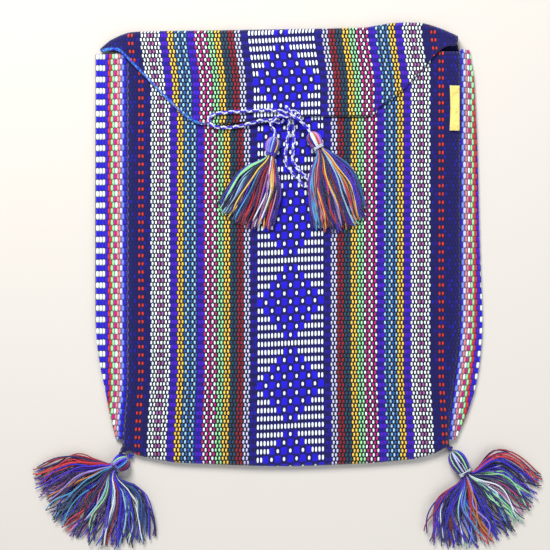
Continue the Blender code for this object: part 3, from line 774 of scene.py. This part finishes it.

# %% [markdown]
# ## The stripes and the brocade
#
# The stripes are the same on both sides of the middle, so they are a short list: how many columns,
# and the dye of the even and of the odd rows. A stripe with two dyes in a row lists its columns one
# by one. Plain stripes have low, dark floats and coloured ones stand out from a nearly black ground:
# dark weft, with painted shade in the gaps between the floats.
# The brocade in the middle is laid in with extra white thread: dashes that grow inwards
# towards each waist, and single dots between bright floats inside the diamonds.

# %% The stripe list
STRIPES = [
    (10, "navy", "navy", "plain"),
    (2, "deep blue", "navy", "plain"),
    (2, "lavender", "lavender", "raised"),
    (2, "crimson", "crimson", "raised"),
    (2, "teal", "teal", "raised"),
    (2, "yellow", "yellow", "raised"),
    (2, "mint", "mint", "raised"),
    (1, "magenta", "white", "raised"),
    (1, "white", "magenta", "raised"),
    (1, "magenta", "white", "raised"),
    (1, "white", "magenta", "raised"),
    (2, "violet", "deep blue", "plain"),
    (1, "sea blue", "pale blue", "raised"),
    (1, "pale blue", "sea blue", "raised"),
    (1, "sea blue", "pale blue", "raised"),
    (1, "pale blue", "sea blue", "raised"),
    (2, "yellow", "yellow", "raised"),
    (2, "violet", "deep blue", "plain"),
    (2, "white", "white", "raised"),
    (2, "mauve", "white", "raised"),
    (2, "white", "white", "raised"),
    (2, "navy", "navy", "plain"),
    (2, "red", "navy", "pair"),
    (12, "navy", "navy", "plain"),
]
STRIPE_SPAN = sum(stripe[0] for stripe in STRIPES)
ON = (1, 1, 1, 1)
OFF = (0, 0, 0, 1)


def stripe_stops(pick):
    """Ramp stops over the whole width, one where the picked colour changes."""
    stops, start = [], 0
    for stripe in STRIPES:
        colour = pick(stripe)
        if not stops or stops[-1][1] != colour:
            stops.append((start / STRIPE_SPAN, colour))
        start += stripe[0]
    return stops

# %% The brocade group
def make_brocade_group():
    """White dashes and dots and bright blue floats, by column and row."""
    outputs = {"White": "Float", "Blue": "Float", "Crown": "Float"}
    tree, given, out = new_group("brocade", {"Column": "Float", "Row": "Float"}, outputs)
    aside = sums(tree, "ABSOLUTE", given["Column"])
    inside = smooth_between(tree, aside, 10.15, 9.95)
    pick = sums(tree, "MULTIPLY", given["Row"], 0.5)
    pick_number = sums(tree, "ROUND", pick)
    from_pick = sums(tree, "ABSOLUTE", sums(tree, "SUBTRACT", pick, pick_number))
    turn = sums(tree, "FLOORED_MODULO", pick_number, 10.0)
    from_waist = sums(tree, "MINIMUM", turn, sums(tree, "SUBTRACT", 10.0, turn))
    column_number = sums(tree, "FLOOR", aside)
    column_middle = sums(tree, "ADD", column_number, 0.5)
    dashed = sums(tree, "GREATER_THAN", column_middle, sums(tree, "MULTIPLY", from_waist, 2.0))
    from_dash = sums(tree, "ABSOLUTE", sums(tree, "SUBTRACT", sums(tree, "FRACT", aside), 0.5))
    wide = sums(tree, "POWER", sums(tree, "DIVIDE", from_dash, 0.30), 2.6)
    tall = sums(tree, "POWER", sums(tree, "DIVIDE", from_pick, 0.31), 3.0)
    dash = sums(tree, "MULTIPLY", smooth_between(tree, sums(tree, "ADD", wide, tall), 1.25, 0.7), dashed)
    even = sums(tree, "SUBTRACT", 1.0, sums(tree, "FLOORED_MODULO", from_waist, 2.0))
    lattice = sums(tree, "ADD", sums(tree, "DIVIDE", given["Column"], 1.83), even)
    from_dot = sums(tree, "PINGPONG", lattice, 1.0)
    dot_wide = sums(tree, "POWER", sums(tree, "DIVIDE", from_dot, 0.20), 2.4)
    dot_tall = sums(tree, "POWER", sums(tree, "DIVIDE", from_pick, 0.24), 2.4)
    free = sums(tree, "SUBTRACT", 1.0, dashed)
    room = sums(tree, "LESS_THAN", aside, sums(tree, "MULTIPLY_ADD", from_waist, 2.0, -0.7))
    dot = smooth_between(tree, sums(tree, "ADD", dot_wide, dot_tall), 1.25, 0.7)
    dot = sums(tree, "MULTIPLY", sums(tree, "MULTIPLY", dot, free), room)
    white = sums(tree, "MULTIPLY", sums(tree, "MAXIMUM", dash, dot), inside)
    far = smooth_between(tree, from_dot, 0.42, 0.62)
    blue_tall = smooth_between(tree, from_pick, 0.52, 0.36)
    blue = sums(tree, "MULTIPLY", sums(tree, "MULTIPLY", far, blue_tall), sums(tree, "MULTIPLY", free, inside))
    tree.links.new(white, out["White"])
    tree.links.new(blue, out["Blue"])
    tree.links.new(sums(tree, "MAXIMUM", white, sums(tree, "MULTIPLY", blue, 0.6)), out["Crown"])
    return tree


brocade_group = make_brocade_group()

# %% The body cloth's material
def make_body_material():
    made, tree, shader = new_material("body weave", 0.86, 0.25)
    woven_at = node(tree, "ShaderNodeAttribute", attribute_name="woven").outputs["Vector"]
    at = node(tree, "ShaderNodeSeparateXYZ", {"Vector": woven_at}).outputs
    values = {"Column": at["X"], "Row": at["Y"], "Aside": 0.36, "Width": 0.30, "Length": 0.43, "Uneven": 0.22}
    floats = use_group(tree, float_group, values)
    aside = sums(tree, "ABSOLUTE", sums(tree, "ADD", floats["Column number"], 0.5))
    place = sums(tree, "DIVIDE", aside, STRIPE_SPAN)
    even = steps_ramp(tree, place, stripe_stops(lambda s: dye(s[1])))
    odd = steps_ramp(tree, place, stripe_stops(lambda s: dye(s[2])))
    raised = steps_ramp(tree, place, stripe_stops(lambda s: ON if s[3] == "raised" else OFF))
    pair = steps_ramp(tree, place, stripe_stops(lambda s: ON if s[3] == "pair" else OFF))
    colour = mixed(tree, floats["Odd row"], even, odd)

    # the pair of red floats shows only in even rows, and then as boldly as the raised stripes
    in_pair = sums(tree, "MULTIPLY", pair, sums(tree, "SUBTRACT", 1.0, floats["Odd row"]))
    bold = sums(tree, "MAXIMUM", raised, in_pair)
    # the ground between the floats is dark weft, darkened towards black as painted shade in the gaps
    ground_and_gap_shade = mixed(tree, bold, mixed(tree, 0.45, colour, dye("black")), dye("black"))
    speck = smooth_between(tree, floats["Chance"], 0.72, 0.95)
    plain_top = mixed(tree, sums(tree, "MULTIPLY", speck, 0.3), colour, dye("blue"))
    top = mixed(tree, bold, plain_top, colour)
    shown = mixed(tree, floats["Mask"], ground_and_gap_shade, top)

    brocade = use_group(tree, brocade_group, {"Column": at["X"], "Row": at["Y"]})
    shown = mixed(tree, brocade["Blue"], shown, dye("blue", 0.9))
    shown = mixed(tree, brocade["White"], shown, dye("white"))

    thread = use_group(tree, thread_group, {"Column": at["X"], "Row": at["Y"], "Strength": 0.55})
    chance = sums(tree, "MULTIPLY_ADD", floats["Chance"], 0.24, 0.88)
    shade = sums(tree, "MULTIPLY", thread["Shade"], chance)
    grey = node(tree, "ShaderNodeCombineColor", {"Red": shade, "Green": shade, "Blue": shade}).outputs[0]
    shown = mixed(tree, 1.0, shown, grey, "MULTIPLY")

    # the rolled hem shows bright weft ends along the flap's left slant
    near_hem = smooth_between(tree, at["Z"], 2.6, 1.2)
    left_slant = sums(tree, "MULTIPLY", near_hem, smooth_between(tree, at["X"], -22.0, -27.0))
    stripes = node(
        tree, "ShaderNodeTexNoise", {"Vector": woven_at, "Scale": 1.6, "Detail": 1.0}
    ).outputs["Fac"]
    weft = mixed(tree, smooth_between(tree, stripes, 0.45, 0.6), dye("blue"), dye("cyan"))
    shown = mixed(tree, sums(tree, "MULTIPLY", left_slant, 0.75), shown, weft)
    tree.links.new(shown, shader.inputs["Base Color"])

    relief = sums(tree, "MULTIPLY", floats["Crown"], sums(tree, "MULTIPLY_ADD", bold, 0.65, 0.35))
    relief = sums(tree, "MAXIMUM", relief, brocade["Crown"])
    relief = sums(tree, "MULTIPLY_ADD", thread["Height"], 0.18, relief)
    add_relief(tree, shader, relief, 0.7 * MM)
    return made


body_finish = make_body_material()
bag_cloth = placed("bag_cloth", body_mesh, body_finish, ["body_cloth"])
thicken(bag_cloth, CLOTH)

# %% [markdown]
# ## The side bands
#
# Each band is a narrow strip with its own weave, folded in half lengthwise along the bag's side.
# Near the fold it has blocks of white and violet, then come red, green, white and magenta columns,
# and a plain violet-blue edge at the seam. The columns are counted from the seam outwards, so the
# pattern stays on the thread where the band is drawn under the bag.

# %% The band's mesh
BAND = 1.3 * MM
BAND_SHOWS = 25.2 * MM
BAND_FOLD_RADIUS = 1.4 * MM
BAND_COLUMN = 2.5 * MM
BAND_ROW = 4.485 * MM
BAND_FOOT_Y = BOTTOM_FOLD_Y + 21 * MM
LEFT_BAND_OUTLINE = [(0.0, 0.22), (0.1, 0.6), (0.2, 0.88), (0.3, 1.0), (1.0, 1.0)]
RIGHT_BAND_OUTLINE = [
    (0.0, 0.24), (0.06, 0.5), (0.13, 0.68), (0.25, 0.72), (0.5, 0.62), (0.75, 0.54), (0.93, 0.44), (1.0, 0.3),
]


def band_section(side, shows, y):
    """The cloth's middle from the front seam out, round the fold and back to the back seam."""
    seam = seam_x(side, y) + side * SEAM_GAP
    low = BAND / 2
    high = low + 2 * BAND_FOLD_RADIUS
    arc_middle = seam + side * (shows - BAND / 2 - BAND_FOLD_RADIUS)
    rise = seam_height(y) - high
    section = []
    for share in np.linspace(1, 0, 15)[:-1]:
        dip = 0.9 * MM * (1 - ease(abs(seam - arc_middle) * (1 - share) / (3 * MM)))
        wave = 0.25 * MM * ripple(side * share, y, 30 * MM, 4.4) * (1 - share)
        section.append((arc_middle + (seam - arc_middle) * share, y, high + rise * ease(share) - dip + wave))
    for turn in np.linspace(0, math.pi, 9):
        x = arc_middle + side * BAND_FOLD_RADIUS * math.sin(turn)
        section.append((x, y, (low + high) / 2 + BAND_FOLD_RADIUS * math.cos(turn)))
    for share in np.linspace(0, 1, 8)[1:]:
        section.append((arc_middle + (seam - arc_middle) * share, y, low))
    return np.array(section)


def make_band(name, side, outline, top_y, waist_y, tucked, replaced, finish):
    rows = 118
    sections, woven_places = [], []
    for k in range(rows + 1):
        y = BAND_FOOT_Y + (top_y - BAND_FOOT_Y) * k / rows
        section = band_section(side, BAND_SHOWS * profile(outline, k / rows)[0], y)
        run = np.concatenate([[0], np.cumsum(np.linalg.norm(np.diff(section, axis=0), axis=1))])
        columns = 10 - (run + tucked) / BAND_COLUMN
        sections.append(section)
        woven_places.extend((column, (waist_y - y) / BAND_ROW, 0) for column in columns)
    if side > 0:
        mesh = sheet_mesh(name, sections, {"woven": woven_places})
    else:
        mesh = sheet_mesh(name, sections, {"woven": woven_places})
        mesh.flip_normals()
    piece = placed(name, mesh, finish, [replaced])
    thicken(piece, BAND)
    return piece

# %% The band's material
BAND_COLUMNS = [
    (4, "navy", "navy"),
    (3, "white", "blue"),
    (1, "violet", "blue"),
    (1, "red", "red"),
    (1, "mint", "mint"),
    (1, "white", "magenta"),
    (1, "salmon", "salmon"),
    (1, "periwinkle", "lavender"),
    (2, "blue", "blue"),
]
BAND_SPAN = sum(column[0] for column in BAND_COLUMNS)


def make_band_material():
    made, tree, shader = new_material("band weave", 0.86, 0.25)
    woven_at = node(tree, "ShaderNodeAttribute", attribute_name="woven").outputs["Vector"]
    at = node(tree, "ShaderNodeSeparateXYZ", {"Vector": woven_at}).outputs
    folded = sums(tree, "SUBTRACT", sums(tree, "ABSOLUTE", sums(tree, "ADD", at["X"], 3.0)), 3.0)
    inner = smooth_between(tree, folded, 3.4, 4.4)
    values = {
        "Column": folded, "Row": at["Y"], "Aside": sums(tree, "MULTIPLY", inner, 0.5),
        "Width": 0.40, "Length": 0.47, "Uneven": 0.12,
    }
    floats = use_group(tree, float_group, values)
    place = sums(tree, "DIVIDE", sums(tree, "ADD", floats["Column number"], 4.5), BAND_SPAN)
    stops, start = [[], []], 0
    for count, even, odd in BAND_COLUMNS:
        stops[0].append((start / BAND_SPAN, dye(even)))
        stops[1].append((start / BAND_SPAN, dye(odd)))
        start += count
    even = steps_ramp(tree, place, stops[0])
    odd = steps_ramp(tree, place, stops[1])
    colour = mixed(tree, floats["Odd row"], even, odd)
    # the ground between the floats is dark weft, darkened towards black as painted shade in the gaps
    ground_and_gap_shade = mixed(tree, 0.25, dye("black"), colour)
    shown = mixed(tree, floats["Mask"], ground_and_gap_shade, colour)
    thread = use_group(tree, thread_group, {"Column": at["X"], "Row": at["Y"], "Strength": 0.6})
    shade = thread["Shade"]
    grey = node(tree, "ShaderNodeCombineColor", {"Red": shade, "Green": shade, "Blue": shade}).outputs[0]
    shown = mixed(tree, 1.0, shown, grey, "MULTIPLY")
    tree.links.new(shown, shader.inputs["Base Color"])
    relief = sums(tree, "MULTIPLY_ADD", thread["Height"], 0.18, floats["Crown"])
    add_relief(tree, shader, relief, 0.6 * MM)
    return made


band_finish = make_band_material()
LEFT_BAND_WAIST_Y = 8.6 * MM
RIGHT_BAND_WAIST_Y = -80.9 * MM
left_band = make_band(
    "band_left_cloth", -1, LEFT_BAND_OUTLINE, TOP_FOLD_Y - 19.5 * MM, LEFT_BAND_WAIST_Y, 0.0, "left_band", band_finish
)
right_band = make_band(
    "band_right_cloth", 1, RIGHT_BAND_OUTLINE, TOP_FOLD_Y - 16 * MM, RIGHT_BAND_WAIST_Y, 1.5 * MM, "right_band",
    band_finish,
)

# %% [markdown]
# ## The label
#
# A short cream tape is folded in half and caught in the right seam. It stays bare: nothing is
# written on it. Fine ribs across it and a slight curl make it a woven ribbon.

# %% The label
LABEL = 0.45 * MM
LABEL_LENGTH = 35 * MM
LABEL_SHOWS = 7.6 * MM


def label_section(share):
    y = TOP_FOLD_Y - 45 * MM - LABEL_LENGTH * share
    seam = seam_x(1, y) - 1 * MM
    fold = seam - LABEL_SHOWS + 0.6 * MM * math.sin(math.pi * share)
    curl = 1.2 * MM * (1 - ease(2 * share))
    base = front_top(fold, y) + GAP + LABEL / 2
    middle = fold + LABEL
    section = []
    for step in np.linspace(0, 1, 7):
        section.append((seam + (middle - seam) * step, y, base + curl * step**2))
    for turn in np.linspace(0, math.pi, 7)[1:]:
        rise = LABEL * (1 - math.cos(turn))
        section.append((middle - LABEL * math.sin(turn), y, base + curl + rise))
    for step in np.linspace(1, 0, 7)[1:]:
        section.append((seam + (middle - seam) * step, y, base + 2 * LABEL + curl * step**2))
    return np.array(section)


def make_label_material():
    made, tree, shader = new_material("label tape", 0.7, 0.15)
    place = node(tree, "ShaderNodeTexCoord").outputs["Object"]
    ribs = node(
        tree, "ShaderNodeTexWave", {"Vector": place, "Scale": 700.0, "Distortion": 1.2}, bands_direction="Y"
    ).outputs["Fac"]
    worn = node(tree, "ShaderNodeTexNoise", {"Vector": place, "Scale": 260.0, "Detail": 3.0}).outputs["Fac"]
    cloth = mixed(tree, sums(tree, "MULTIPLY", ribs, 0.22), dye("cream"), dye("yellow"))
    cloth = mixed(tree, smooth_between(tree, worn, 0.45, 0.85), cloth, dye("cream", 0.6))
    tree.links.new(cloth, shader.inputs["Base Color"])
    add_relief(tree, shader, ribs, 0.12 * MM)
    return made


label_sections = [label_section(k / 40) for k in range(41)]
label = placed("label_ribbon", sheet_mesh("label_ribbon", label_sections, {}), make_label_material(), ["side_label"])
thicken(label, LABEL)

# %% [markdown]
# ## The tassels
#
# Each tassel is a bundle of yarns, doubled over into a round head, tied at the waist and cut to a
# skirt. A solid cone could stand in for it, but its charm is in the separate strands: every yarn
# here is its own tube that starts at the tie, swings out to its place in the fan and settles on
# what it lies on. The fan's outline is the CAD tassel's. The dyes are listed across the fan,
# as the photograph shows them, and some yarns take a blue one instead.

# %% Where the tassels lie
def heading(degrees):
    return np.array((math.cos(math.radians(degrees)), math.sin(math.radians(degrees)), 0.0))


def on_front(x, y):
    return front_top(x, y) + GAP


def on_table(x, y):
    return 0.0


TASSELS = {
    "cord_left": dict(
        tie=(-17.91, 72.49), top=(-15.21, 85.21, 15.96), waist_z=15.96, neck=-102, skirt=-113, spread=24,
        waist=3.2, head_radius=5.5, length=58.2, thick=11.0, short=0.07, bulge=1.1, lopsided=0.0, lift=0.0,
        lies_on=on_front,
    ),
    "cord_right": dict(
        tie=(18.81, 77.59), top=(12.75, 88.52, 17.95), waist_z=17.95, neck=-61, skirt=-73, spread=20,
        waist=3.2, head_radius=5.5, length=64.8, thick=11.0, short=0.08, bulge=1.6, lopsided=-0.35, lift=2.0,
        lies_on=on_front,
    ),
    "corner_left": dict(
        tie=(-139.04, -171.19), top=(-130.19, -165.0, 3.42), waist_z=6.8, neck=-145, skirt=-121, spread=60,
        waist=4.2, head_radius=6.8, length=63.0, thick=12.0, short=0.05, bulge=0.7, lopsided=0.0, lift=0.0,
        lies_on=on_table,
    ),
    "corner_right": dict(
        tie=(133.81, -175.84), top=(124.2, -160.03, 3.47), waist_z=6.8, neck=-58.7, skirt=-60, spread=60,
        waist=4.2, head_radius=6.8, length=58.8, thick=12.0, short=0.03, bulge=1.0, lopsided=-0.4, lift=0.0,
        lies_on=on_table,
    ),
}
SKIRT_PROFILE = [
    (0.0, 0.12, 0.62), (0.07, 0.3, 0.72), (0.16, 0.66, 0.9), (0.3, 0.88, 1.0), (0.48, 1.0, 0.96),
    (0.68, 1.0, 0.84), (0.86, 0.98, 0.66), (1.0, 0.96, 0.4),
]
HEAD_PROFILE = [(0.0, 0.25), (0.06, 0.58), (0.2, 0.86), (0.42, 1.0), (0.66, 0.94), (0.84, 0.86), (1.0, 0.58)]

# %% The yarns of one tassel
SKIRT_YARNS = 120
HEAD_YARNS = 30
YARN_RADIUS = 0.56 * MM


def fan_place(t, share, swing, level):
    """A place in the skirt: the share of its length, swing from -1 to 1, level from -1 to 1."""
    spread, thick = profile(SKIRT_PROFILE, share)
    way_middle = t["neck"] + (t["skirt"] - t["neck"]) * ease(share / 0.3)
    bulge = 1 + t["bulge"] * max(0.0, 1 - share) ** 1.5 * (1 + t["lopsided"] * swing)
    way = heading(way_middle - t["spread"] * spread * bulge * swing)
    side = heading(way_middle - 90)
    tie = np.array((*t["tie"], 0.0)) * MM
    length = t["length"] * MM * share * (1 - t["short"] * swing**2)
    at = tie + way * length + side * t["waist"] * MM * swing * 0.8
    half = t["thick"] / 2 * thick * MM
    centre = t["head_radius"] * MM + (half - t["head_radius"] * MM) * ease(share / 0.3)
    lift = t["lift"] * MM * (1 - ease((share - 0.65) / 0.35))
    room = max(0.0, half - YARN_RADIUS) * math.sqrt(max(0.0, 1 - min(1.0, abs(swing)) ** 2.4))
    at[2] = t["lies_on"](at[0], at[1]) + lift + centre + room * level
    return at


def head_place(t, share, angle):
    """A place on the head's surface, a share of its length from its top, an angle round its axis."""
    top = np.array(t["top"]) * MM
    tie = np.array((*t["tie"], t["waist_z"])) * MM
    radius = t["head_radius"] * MM * profile(HEAD_PROFILE, share)[0] - YARN_RADIUS * 0.8
    middle = top + (tie - top) * share
    low = t["waist_z"] * MM - t["head_radius"] * MM
    rise = top[2] + (tie[2] - top[2]) * ease(share / 0.42)
    middle[2] = max(rise, low + radius + YARN_RADIUS)
    side = heading(t["neck"] - 90)
    return middle + side * radius * math.cos(angle) + np.array((0, 0, radius * math.sin(angle)))


def fan_dye(fan, swing, chance):
    """The dye listed for this side of the fan, or a common blue one."""
    if chance.random() < 0.30:
        return chance.choice(("navy", "navy", "blue", "deep blue", "violet", "black"))
    at = (swing + 1) / 2 * len(fan) + chance.uniform(-0.8, 0.8)
    return fan[int(max(0, min(len(fan) - 1, at)))]


def tassel_yarns(name, slot, replaced, fan, head, seed, yarns=SKIRT_YARNS):
    t = TASSELS[name]
    chance = random.Random(seed)
    strands = Strands(sides=6)
    steps = np.linspace(0.0, 1.0, 15)
    for k in range(yarns):
        swing = -0.99 + 1.98 * ((k * 0.618034) % 1.0)
        level = chance.uniform(-1, 1)
        reach = chance.uniform(0.9, 1.06)
        lock = round(swing * 6) / 6 + chance.uniform(-0.03, 0.03)
        pull = chance.uniform(0.15, 0.5)
        waves = chance.uniform(0.5, 1.6)
        start = chance.uniform(0, 2 * math.pi)
        sway = chance.uniform(0.02, 0.075)
        line = []
        for share in steps:
            drift = sway * math.sin(waves * 2 * math.pi * share + start) * ease(share * 2.2)
            s = swing + (lock - swing) * pull * ease((share - 0.35) / 0.65) + drift
            v = level + 0.35 * math.sin(2 * math.pi * share * waves + start * 2) * share
            line.append(fan_place(t, share * reach, s, max(-1.0, min(1.0, v))))
        line = np.array(line)
        floor = np.array([t["lies_on"](x, y) for x, y, _ in line]) + YARN_RADIUS
        line[:, 2] = np.maximum(line[:, 2], floor)
        radius = YARN_RADIUS * chance.uniform(0.85, 1.15) * np.interp(steps, [0, 0.12, 0.9, 1], [0.7, 1, 1, 0.8])
        strands.add(line, radius, fan_dye(fan, swing, chance))
    for k in range(HEAD_YARNS):
        angle = 2 * math.pi * (k + 0.5) / HEAD_YARNS
        lean_round = chance.uniform(-0.25, 0.25)
        line = [head_place(t, share, angle + lean_round * share) for share in np.linspace(0, 1, 9)]
        colour = head[int((1 - math.cos(angle)) / 2 * len(head) * 0.999)]
        if chance.random() < 0.25:
            colour = chance.choice(("blue", "navy", "violet"))
        strands.add(np.array(line), YARN_RADIUS * 1.25, colour)
    return strands.finish(name + "_tassel_yarn", tassel_finish, slot, [replaced])

# %% The four tassels
CORD_LEFT_FAN = (
    "violet", "navy", "pink", "red", "yellow", "white", "white", "mauve", "orange", "crimson", "purple",
    "red", "crimson", "navy", "cyan", "sea blue", "yellow", "teal", "pale blue", "navy", "mint", "lilac", "blue",
)
CORD_RIGHT_FAN = (
    "sea blue", "teal", "violet", "navy", "yellow", "orange", "red", "pale blue", "violet", "crimson", "navy",
    "yellow", "lilac", "red", "violet", "orange", "navy", "red", "yellow", "salmon", "cyan", "crimson", "cyan",
    "purple",
)
CORNER_LEFT_FAN = (
    "violet", "navy", "sea blue", "teal", "white", "navy", "mint", "pale blue", "blue", "violet", "crimson",
    "white", "pale blue", "blue", "navy", "mint", "pink", "pale blue", "violet", "red", "cyan", "blue", "navy",
    "teal", "cyan", "navy", "orange", "lilac", "mauve", "navy", "violet", "purple", "red", "crimson", "crimson",
)
CORNER_RIGHT_FAN = (
    "crimson", "red", "blue", "violet", "navy", "lavender", "blue", "mint", "magenta", "red", "teal", "pink",
    "white", "mint", "cyan", "navy", "black", "navy", "blue", "lilac", "orange", "red", "cyan", "purple",
    "navy", "periwinkle", "white", "mint", "crimson", "navy", "blue", "white", "blue", "white", "violet", "crimson",
)
cord_tassel_left = tassel_yarns(
    "cord_left", "tassel_yarn", "cord_tassel_left", CORD_LEFT_FAN,
    ("mauve", "lilac", "periwinkle", "pale blue", "mint", "black", "yellow", "teal"), 11,
)
cord_tassel_right = tassel_yarns(
    "cord_right", "tassel_yarn", "cord_tassel_right", CORD_RIGHT_FAN,
    ("mauve", "crimson", "violet", "white", "mint", "red", "pink", "navy"), 12,
)
corner_tassel_left = tassel_yarns(
    "corner_left", "tassel_yarn", "corner_tassel_left", CORNER_LEFT_FAN,
    ("blue", "mint", "lilac", "navy", "cyan", "navy", "crimson", "navy"), 13, 150,
)
corner_tassel_right = tassel_yarns(
    "corner_right", "tassel_yarn", "corner_tassel_right", CORNER_RIGHT_FAN,
    ("purple", "mint", "navy", "lavender", "black", "navy", "mint", "blue"), 14, 150,
)

# %% [markdown]
# ## Ties and corner knots
#
# A thin thread is wound round each tassel's waist, and its ends are left a little long. At the
# bottom corners a small knot of yarn holds the tassel to the bag; it is a real overhand knot, a
# closed line in the form of a trefoil, pulled tight.

# %% Ties
def waist_tie(name, replaced, turns, dyes):
    t = TASSELS[name]
    middle = np.array((*t["tie"], t["waist_z"])) * MM
    axis = heading(t["neck"])
    side = heading(t["neck"] - 90)
    thread = 0.38 * MM
    strands = Strands(sides=6)
    for n, dye_name in enumerate(dyes):
        line = []
        steps = int(turns * 22)
        for k in range(steps + 1):
            turn = 2 * math.pi * turns * k / steps + n * math.pi
            ring = t["waist"] * MM + 0.5 * MM + thread * (0.6 + 0.3 * math.sin(3.1 * turn + n))
            along = (k / steps - 0.5) * 2.2 * MM + n * 0.5 * MM
            line.append(middle + axis * along + side * ring * math.cos(turn) + np.array((0, 0, ring * math.sin(turn))))
        strands.add(np.array(line), thread, dye_name)
    return strands.finish(name + "_waist_tie", tie_finish, "tie_thread", [replaced])


cord_tie_left = waist_tie("cord_left", "cord_tie_left", 2.3, ("blue", "violet"))
cord_tie_right = waist_tie("cord_right", "cord_tie_right", 2.6, ("white", "lavender"))
corner_tie_left = waist_tie("corner_left", "corner_tie_left", 2.2, ("lilac", "navy"))
corner_tie_right = waist_tie("corner_right", "corner_tie_right", 2.2, ("white", "navy"))

# %% Corner knots
def corner_knot(name, middle, dyes, replaced):
    strands = Strands(sides=8)
    size = 0.62 * MM
    turn = np.linspace(0, 2 * math.pi, 61)
    for n, dye_name in enumerate(dyes):
        tilt = turn + n * 0.5
        knot = np.stack([
            np.sin(tilt) + 2 * np.sin(2 * tilt),
            np.cos(tilt) - 2 * np.cos(2 * tilt),
            -1.3 * np.sin(3 * tilt),
        ], 1) * size * (1 - 0.15 * n)
        strands.add(np.array(middle) * MM + knot, 0.62 * MM, dye_name)
    return strands.finish(name, tie_finish, "tie_thread", [replaced])


corner_knot("corner_knot_left_thread", (-127.9, -163.39, 3.42), ("blue", "navy"), "corner_knot_left")
corner_knot("corner_knot_right_thread", (122.74, -157.64, 3.47), ("navy", "blue"), "corner_knot_right")

# %% [markdown]
# ## The soft pieces' sizes
#
# A cord's length is measured on its line and printed where the cord is braided. Each sheet's half
# area is printed beside the flat cut that was sewn: the body strip, each band before folding, and the
# label tape.


def half_area(piece):
    """The area of one side of a thin closed sheet."""
    return sum(face.area for face in piece.data.polygons) / 2


BODY_FLAT = (0.282, 0.790)
BAND_FLAT = (0.051, 0.308)
LABEL_FLAT = (0.0155, 0.035)
for piece, flat in ((bag_cloth, BODY_FLAT), (left_band, BAND_FLAT), (right_band, BAND_FLAT), (label, LABEL_FLAT)):
    print(piece.name, "area:", round(half_area(piece), 5), "flat:", round(flat[0] * flat[1], 5))

# %% [markdown]
# ## The table and the light
#
# A plain pale floor keeps the eye on the bag. One large soft light from the top of the picture
# gives the flap and the tassels their shadows, a weak one opposite opens them up, and a pale sky
# fills the rest.

# %% The floor
floor_mesh = bpy.data.meshes.new("floor")
FLOOR_HALF = 3.0
floor_mesh.from_pydata(
    [(-FLOOR_HALF, -FLOOR_HALF, -0.2 * MM), (FLOOR_HALF, -FLOOR_HALF, -0.2 * MM),
     (FLOOR_HALF, FLOOR_HALF, -0.2 * MM), (-FLOOR_HALF, FLOOR_HALF, -0.2 * MM)],
    [], [(0, 1, 2, 3)],
)
floor_finish = bpy.data.materials.new("pale floor")
floor_finish.use_nodes = True
floor_finish.node_tree.nodes["Principled BSDF"].inputs["Base Color"].default_value = (0.60, 0.57, 0.53, 1)
floor_finish.node_tree.nodes["Principled BSDF"].inputs["Roughness"].default_value = 0.9
floor_mesh.materials.append(floor_finish)
floor = bpy.data.objects.new("floor", floor_mesh)
bpy.context.scene.collection.objects.link(floor)


# %% The lights
def soft_light(name, place, size, power, colour):
    data = bpy.data.lights.new(name, "AREA")
    data.shape = "DISK"
    data.size = size
    data.energy = power
    data.color = colour
    lamp = bpy.data.objects.new(name, data)
    lamp.location = place
    lamp.rotation_euler = (-Vector(place)).to_track_quat("-Z", "Y").to_euler()
    bpy.context.scene.collection.objects.link(lamp)


soft_light("window light", (-0.35, 0.85, 1.05), 0.7, 26, (1.0, 0.98, 0.95))
soft_light("fill light", (0.7, -0.6, 1.1), 1.2, 7, (0.93, 0.96, 1.0))
world = bpy.data.worlds.new("pale sky")
world.use_nodes = True
world.node_tree.nodes["Background"].inputs["Color"].default_value = (0.92, 0.95, 1.0, 1)
world.node_tree.nodes["Background"].inputs["Strength"].default_value = 0.45
bpy.context.scene.world = world
